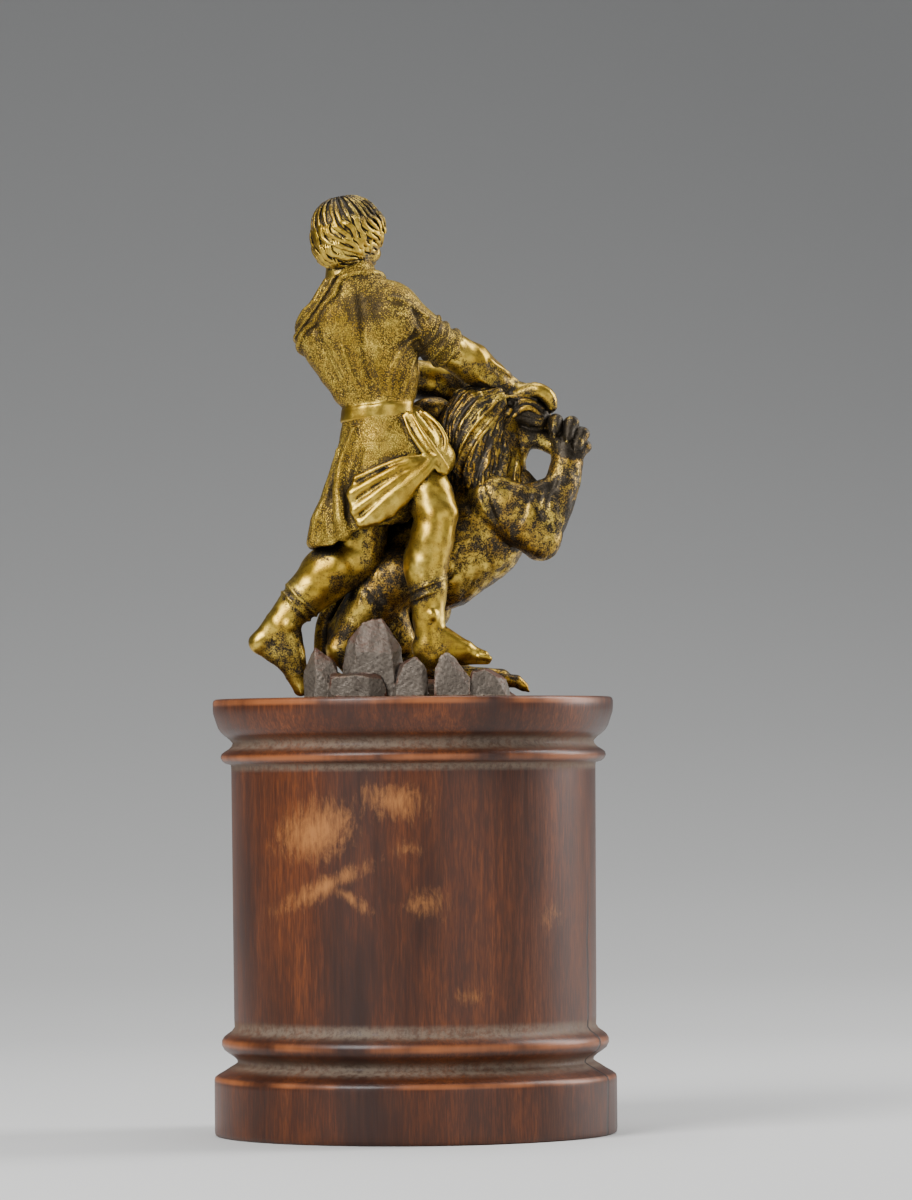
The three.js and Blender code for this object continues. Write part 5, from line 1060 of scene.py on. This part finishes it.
def rockMaterial():
    material, tree, shader, make = newMaterial("chiselled_rock")
    place = make("TexCoord", out=3)
    cavity = make("Attribute", attribute_name="cavity", out=2)
    ridge = make("Attribute", attribute_name="ridge", out=2)
    broad = make("TexNoise", place, named={"Scale": 160.0, "Detail": 5.0, "Roughness": 0.65})
    fine = make("TexNoise", place, named={"Scale": 1500.0, "Detail": 6.0, "Roughness": 0.7})
    cracks = make("TexVoronoi", place, named={"Scale": 420.0}, feature="DISTANCE_TO_EDGE")
    up = make("SeparateXYZ", make("NewGeometry", out=1), out=2)
    red = make("Math", between(make, up, 0.1, 0.8), between(make, ridge, 0.15, 0.6), operation="MAXIMUM")
    tone = mixColour(make, broad, colour(0.085, 0.066, 0.050), colour(0.21, 0.18, 0.145))
    tone = mixColour(make, between(make, ridge, 0.12, 0.5, 0.0, 0.5), tone, colour(0.36, 0.30, 0.22))
    tone = mixColour(make, make("Math", red, between(make, broad, 0.3, 0.6), operation="MULTIPLY"), tone, colour(0.11, 0.038, 0.022))
    tone = mixColour(make, between(make, fine, 0.5, 0.35, 0.0, 0.6), tone, colour(0.035, 0.024, 0.018))
    # Painted shade: the rock is darker in its hollows, by the cavity reading.
    tone = mixColour(make, between(make, cavity, 0.25, 0.95, 0.0, 0.9), tone, colour(0.018, 0.012, 0.01))
    tree.links.new(tone, shader.inputs["Base Color"])
    tree.links.new(between(make, fine, 0.3, 0.7, 0.4, 0.62), shader.inputs["Roughness"])
    shader.inputs["Metallic"].default_value = 0.6
    height = make("Math", fine, 0.6, between(make, cracks, 0.0, 0.03, 0.0, 0.15), operation="MULTIPLY_ADD")
    tree.links.new(make("Bump", named={"Strength": 0.8, "Distance": 0.0003, "Height": height}), shader.inputs["Normal"])
    return material


# The turned stand: a drum between a plinth and a moulded top.
stand = dict(sides=360, rowGap=1.2)
standProfile = [
    (0, 0), (49.6, 0), (50.1, 0.35), (50.2, 1.2), (50.2, 13.8), (50.0, 14.5), (49.2, 15.1), (47.6, 16.0), (46.3, 16.85),
    (45.0, 17.6), (44.4, 18.1), (44.5, 18.8), (45.3, 19.6), (46.5, 20.4), (47.7, 21.3), (48.3, 22.5), (48.25, 23.6),
    (47.7, 24.5), (46.8, 25.2), (45.8, 25.9), (45.1, 26.9), (45.2, 29), (45.5, 91.4), (45.6, 92.2), (46.9, 92.5), (47.7, 93.1),
    (48.15, 94.0), (47.9, 94.9), (47.1, 95.5), (46.1, 96.1), (45.4, 96.8), (45.1, 97.6), (45.9, 98.5), (47.0, 99.3),
    (48.0, 100.2), (48.7, 101.3), (49.3, 103), (49.9, 104.9), (50, 106), (50, 107.6), (49.8, 108.2), (49.3, 108.5), (0, 108.5)]


def makeStand(material):
    profile = []
    for (r0, z0), (r1, z1) in zip(standProfile, standProfile[1:]):
        count = max(1, int(np.hypot(r1 - r0, z1 - z0) / stand["rowGap"] / (4 if r0 == 0 or r1 == 0 else 1)))
        profile += [(r0 + (r1 - r0) * i / count, z0 + (z1 - z0) * i / count) for i in range(count)]
    rows = np.array(profile[1:])
    angles = np.linspace(0, 2 * math.pi, stand["sides"], endpoint=False)
    ring = np.stack([np.cos(angles), np.sin(angles)], 1)
    points = np.concatenate([rows[:, None, :1] * ring, np.broadcast_to(rows[:, None, 1:], (len(rows), len(ring), 1))], 2)
    points = np.vstack([points.reshape(-1, 3), [(0, 0, 0), (0, 0, standHeight)]])
    n, m = len(rows), len(ring)
    i, j = np.meshgrid(np.arange(n - 1), np.arange(m), indexing="ij")
    at = lambda row, column: row * m + column % m
    quads = np.stack([at(i, j), at(i, j + 1), at(i + 1, j + 1), at(i + 1, j)], -1).reshape(-1, 4)
    low = [(n * m, at(0, k + 1), at(0, k)) for k in range(m)]
    high = [(n * m + 1, at(n - 1, k), at(n - 1, k + 1)) for k in range(m)]
    mesh = bpy.data.meshes.new("stand_turned")
    mesh.from_pydata((points * 0.001).tolist(), [], quads.tolist() + low + high)
    mesh.polygons.foreach_set("use_smooth", np.ones(len(mesh.polygons), bool))
    mesh.materials.append(material)
    piece = bpy.data.objects.new("stand_turned", mesh)
    bpy.context.scene.collection.objects.link(piece)
    finishPiece(piece, "turned_stand")
    print("stage: stand_turned", sum(len(p.vertices) - 2 for p in mesh.polygons), "triangles")


def woodMaterial():
    material, tree, shader, make = newMaterial("varnished_wood", Coat_Weight=0.14, Coat_Roughness=0.25, Specular_IOR_Level=0.35)
    maths = lambda op, a, b=0.0, c=0.0: make("Math", a, b, c, operation=op)
    place = make("TexCoord", out=3)
    x, y, z = [make("SeparateXYZ", place, out=n) for n in range(3)]
    angle = maths("ARCTAN2", x, maths("MULTIPLY", y, -1.0))
    radius = maths("SQRT", maths("MULTIPLY_ADD", x, x, maths("MULTIPLY", y, y)))
    grainPlace = make("Mapping", place, named={"Scale": (1.0, 1.0, 0.045)})
    grain = make("TexNoise", grainPlace, named={"Scale": 620.0, "Detail": 7.0, "Roughness": 0.68, "Distortion": 0.4})
    broad = make("TexNoise", make("Mapping", place, named={"Scale": (1, 1, 0.3)}), named={"Scale": 46.0, "Detail": 4.0, "Roughness": 0.55})
    pores = make("TexNoise", make("Mapping", place, named={"Scale": (1.0, 1.0, 0.09)}), named={"Scale": 2400.0, "Detail": 3.0, "Roughness": 0.6})
    tone = mixColour(make, between(make, broad, 0.3, 0.72), colour(0.036, 0.0085, 0.002), colour(0.17, 0.043, 0.0075))
    tone = mixColour(make, between(make, grain, 0.35, 0.68), mixColour(make, 1.0, tone, colour(0.55, 0.5, 0.46), "MULTIPLY"), tone)
    tone = mixColour(make, between(make, pores, 0.6, 0.42, 0.0, 0.5), tone, colour(0.022, 0.007, 0.004))
    # Where the varnish is worn away, given as places across and up the front with their half sizes.
    wear = None
    scuff = make("TexNoise", make("Mapping", place, named={"Scale": (1, 1, 0.55), "Rotation": (0, 0.6, 0)}), named={"Scale": 260.0, "Detail": 8.0, "Roughness": 0.75, "Distortion": 1.2})
    for cx, cz, rx, rz, tilt, force in standWear:
        right, up = maths("SUBTRACT", x, cx * 0.001), maths("SUBTRACT", z, cz * 0.001)
        c, t = math.cos(math.radians(tilt)), math.sin(math.radians(tilt))
        dx = maths("MULTIPLY_ADD", right, 1000 * c / rx, maths("MULTIPLY", up, 1000 * t / rx))
        dz = maths("MULTIPLY_ADD", up, 1000 * c / rz, maths("MULTIPLY", right, -1000 * t / rz))
        away = maths("SQRT", maths("MULTIPLY_ADD", dx, dx, maths("MULTIPLY", dz, dz)))
        spot = maths("SUBTRACT", force, away)
        wear = maths("MAXIMUM", wear, spot) if wear else spot
    front = between(make, y, -0.01, -0.02)
    scratch = make("TexNoise", make("Mapping", place, named={"Scale": (1, 1, 0.16), "Rotation": (0, 0.25, 0)}), named={"Scale": 1300.0, "Detail": 4.0, "Roughness": 0.7})
    torn = maths("MULTIPLY_ADD", maths("SUBTRACT", scratch, 0.5), 2.2, maths("MULTIPLY", maths("SUBTRACT", scuff, 0.5), 2.6))
    worn = between(make, maths("MULTIPLY_ADD", wear, 1.5, torn), 0.1, 2.0)
    worn = maths("MULTIPLY", worn, front)
    tone = mixColour(make, maths("MULTIPLY", worn, 0.9), tone, mixColour(make, grain, colour(0.30, 0.105, 0.024), colour(0.46, 0.19, 0.05)))
    # Orange wear along the sharp edges of the mouldings, and grey bloom in the hollows between them.
    edgeNoise = between(make, broad, 0.38, 0.6)
    edge = None
    for level, half in ((0.0142, 0.0009), (0.0232, 0.0014), (0.0938, 0.0011), (0.1075, 0.0011)):
        near = between(make, maths("ABSOLUTE", maths("SUBTRACT", z, level)), half, half * 0.2)
        edge = maths("MAXIMUM", edge, near) if edge else near
    tone = mixColour(make, maths("MULTIPLY", maths("MULTIPLY", edge, edgeNoise), 0.7), tone, colour(0.36, 0.115, 0.035))
    dust = None
    for level, half in ((0.0178, 0.0028), (0.0268, 0.0026), (0.0916, 0.0015), (0.0972, 0.0026)):
        near = between(make, maths("ABSOLUTE", maths("SUBTRACT", z, level)), half, half * 0.15)
        dust = maths("MAXIMUM", dust, near) if dust else near
    dust = maths("MULTIPLY", dust, between(make, radius, 0.0485, 0.0455))
    dust = maths("MULTIPLY", dust, between(make, make("TexNoise", place, named={"Scale": 700.0, "Detail": 5.0, "Roughness": 0.7}), 0.35, 0.6, 0.35, 1.0))
    tone = mixColour(make, maths("MULTIPLY", dust, 0.62), tone, colour(0.21, 0.165, 0.12))
    # One long crack through the lower drum, bead and plinth.
    sway = make("TexNoise", make("Mapping", place, named={"Scale": (0.2, 0.2, 1.0)}), named={"Scale": 120.0, "Detail": 4.0})
    line = maths("ABSOLUTE", maths("MULTIPLY_ADD", maths("SUBTRACT", sway, 0.5), 0.05, maths("SUBTRACT", angle, 1.24)))
    crack = maths("MULTIPLY", between(make, line, 0.02, 0.006), between(make, z, 0.075, 0.05))
    tone = mixColour(make, maths("MULTIPLY", crack, 0.9), tone, colour(0.008, 0.004, 0.003))
    tree.links.new(tone, shader.inputs["Base Color"])
    rough = maths("MULTIPLY_ADD", grain, 0.2, 0.34)
    rough = maths("MULTIPLY_ADD", worn, 0.12, maths("MULTIPLY_ADD", dust, 0.35, rough))
    tree.links.new(rough, shader.inputs["Roughness"])
    tree.links.new(between(make, maths("MAXIMUM", dust, maths("MULTIPLY", worn, 0.6)), 0.0, 1.0, 0.14, 0.02), shader.inputs["Coat Weight"])
    height = maths("MULTIPLY_ADD", pores, 0.4, maths("MULTIPLY", grain, 0.6))
    height = maths("MULTIPLY_ADD", crack, -3.0, height)
    tree.links.new(make("Bump", named={"Strength": 0.3, "Distance": 0.00015, "Height": height}), shader.inputs["Normal"])
    return material


standWear = [(-23.6, 76, 11, 7.5, 25, 1.25), (-4.5, 83.2, 11, 6.5, -5, 1.0), (-22, 62, 18, 3.6, 26, 1.0), (-16.5, 60.6, 11, 2.6, -35, 0.9),
             (3.1, 58.2, 10, 7, 0, 0.7), (-1.6, 71.3, 8, 5, 0, 0.6), (34, 54.7, 6, 8, 0, 0.6), (13.6, 35.6, 10, 5, 0, 0.6)]
gildingLook = gildingGroup()
goldCloth = giltMaterial("gilt_punched_cloth", 0.9, Cover=0.98, Mottle=0.45, Punch=1.0)
goldSkin = giltMaterial("gilt_smooth_skin", 0.5, Cover=0.78, Mottle=0.7)
goldHair = giltMaterial("gilt_combed_hair", 0.5, Cover=0.66, Mottle=0.6)
goldLion = giltMaterial("gilt_lion_coat", 0.8, Cover=0.72, Mottle=0.9, Gold=(0.44, 0.24, 0.025, 1))
rockLook = rockMaterial()
woodLook = woodMaterial()

headField, hair, tunicField, armField, legField = headFields(), hairField(), tunicFields(), armFields(), legFields()
skirtField, burnished = skirtFields()
lionField = lionFields()
faceField = lionHeadField()
maneShape = maneField()
lionHeadAndMane = melt(0.3, faceField, maneShape)
allBronze = melt(0.1, headField, tunicField, armField, skirtField, legField, lionField, lionHeadAndMane)
print("stage: shapes ready")

head["box"] = ((-29, -16, 100), (1, 14, 128))
headAll = melt(0.25, nearOnly((-14, -2, 112), 17, headField), hair)
makePiece("man_head", "man_and_lion", headAll, head, goldHair, None,
          [(-14, -3, 126, 15, -0.8)], allBronze)
def clothOfSkirt(rows):
    return smoothstep(-0.1, 0.5, readField(burnished, rows))


cloth = lambda rows: smoothstep(0.1, 0.6, readField(beltField, rows))
# The two spots on the back of the tunic lower the gold: partly worn gold, partly a painted dark reflection on the
# shoulder blades.
makePiece("tunic_top", "man_and_lion", tunicField, tunic, goldCloth, cloth, [(-10, -12, 99, 9, -0.4), (0, -10, 96, 8, -0.25)], allBronze)
makePiece("arms", "man_and_lion", armField, arms, goldSkin, None, [(20, 5, 74, 7, -0.6), (34, 11, 76, 5, -0.3)], allBronze)
# The spot inside the skirt, about its hem, is painted shade under the skirt.
makePiece("tunic_skirt", "man_and_lion", skirtField, skirt, goldCloth, clothOfSkirt, [(-9, -4, 40, 10, -0.9)], allBronze)
makePiece("legs", "man_and_lion", legField, legs, goldSkin, None, [(-31, -4, 11, 10, -0.5), (4, -12, 12, 8, -0.2)], allBronze)
makePiece("lion_body", "man_and_lion", lionField, lion, goldLion, None, [(40, 3, 66, 8, -0.6), (38, 0, 48, 12, -0.2)], allBronze)
# Of the two spots on the lion's head, the first darkens the muzzle; the second is painted shade in the open mouth.
makePiece("lion_head", "man_and_lion", lionHeadAndMane, mane, goldLion, None, [(30, 6, 72, 6, -0.45), (31, 6, 65, 4, -0.3)], allBronze)
makePiece("rocks", "rock_ground", rockField(), rocks, rockLook, flat=True)
makeStand(woodLook)

# The floor, soft lights and the camera.
floorMesh = bpy.data.meshes.new("floor")
bow = np.linspace(0, math.pi / 2, 17)
section = np.vstack([[(-3, 0)], np.stack([0.5 + 2.4 * np.sin(bow), 2.4 - 2.4 * np.cos(bow)], 1), [(2.9, 4.0)]])
sheet = np.array([(x, y, z) for y, z in section for x in (-3, 3)])
floorMesh.from_pydata(sheet.tolist(), [], [(2 * i, 2 * i + 1, 2 * i + 3, 2 * i + 2) for i in range(len(section) - 1)])
floorMesh.polygons.foreach_set("use_smooth", np.ones(len(floorMesh.polygons), bool))
floor = bpy.data.objects.new("floor", floorMesh)
floorLook, floorTree, floorShader, _ = newMaterial("pale_floor", Roughness=0.7)
floorShader.inputs["Base Color"].default_value = (0.62, 0.62, 0.61, 1)
floorMesh.materials.append(floorLook)
bpy.context.scene.collection.objects.link(floor)


def addLight(name, place, target, size, watts, warmth=(1, 1, 1)):
    light = bpy.data.lights.new(name, "AREA")
    light.shape, light.size, light.size_y, light.energy, light.color = "RECTANGLE", size[0], size[1], watts, warmth
    lamp = bpy.data.objects.new(name, light)
    lamp.location = place
    way = Vector(target) - Vector(place)
    lamp.rotation_euler = way.to_track_quat("-Z", "Y").to_euler()
    bpy.context.scene.collection.objects.link(lamp)


addLight("key", (-0.55, -0.7, 0.75), (0, 0, 0.13), (0.45, 0.7), 17)
addLight("rim", (0.75, 0.25, 0.5), (0, 0, 0.15), (0.35, 0.8), 10)
addLight("fill", (0.6, -0.9, 0.3), (0, 0, 0.12), (0.7, 0.7), 2.5)
addLight("top", (0.0, 0.2, 1.1), (0, 0, 0.15), (0.6, 0.6), 6)
world = bpy.data.worlds.new("studio")
world.use_nodes = True
world.node_tree.nodes["Background"].inputs["Color"].default_value = (0.6, 0.62, 0.66, 1)
world.node_tree.nodes["Background"].inputs["Strength"].default_value = 0.22
bpy.context.scene.world = world

camera = bpy.data.objects.new("camera", bpy.data.cameras.new("camera"))
camera.data.lens = 172.8
camera.data.sensor_width = 36
turn = Euler((math.radians(91.59), 0, 0)).to_matrix().to_4x4() @ Matrix.Rotation(math.radians(-0.47), 4, "Z")
camera.matrix_world = Matrix.Translation((0.011, -1.440, 0.093)) @ turn
bpy.context.scene.collection.objects.link(camera)
bpy.context.scene.camera = camera
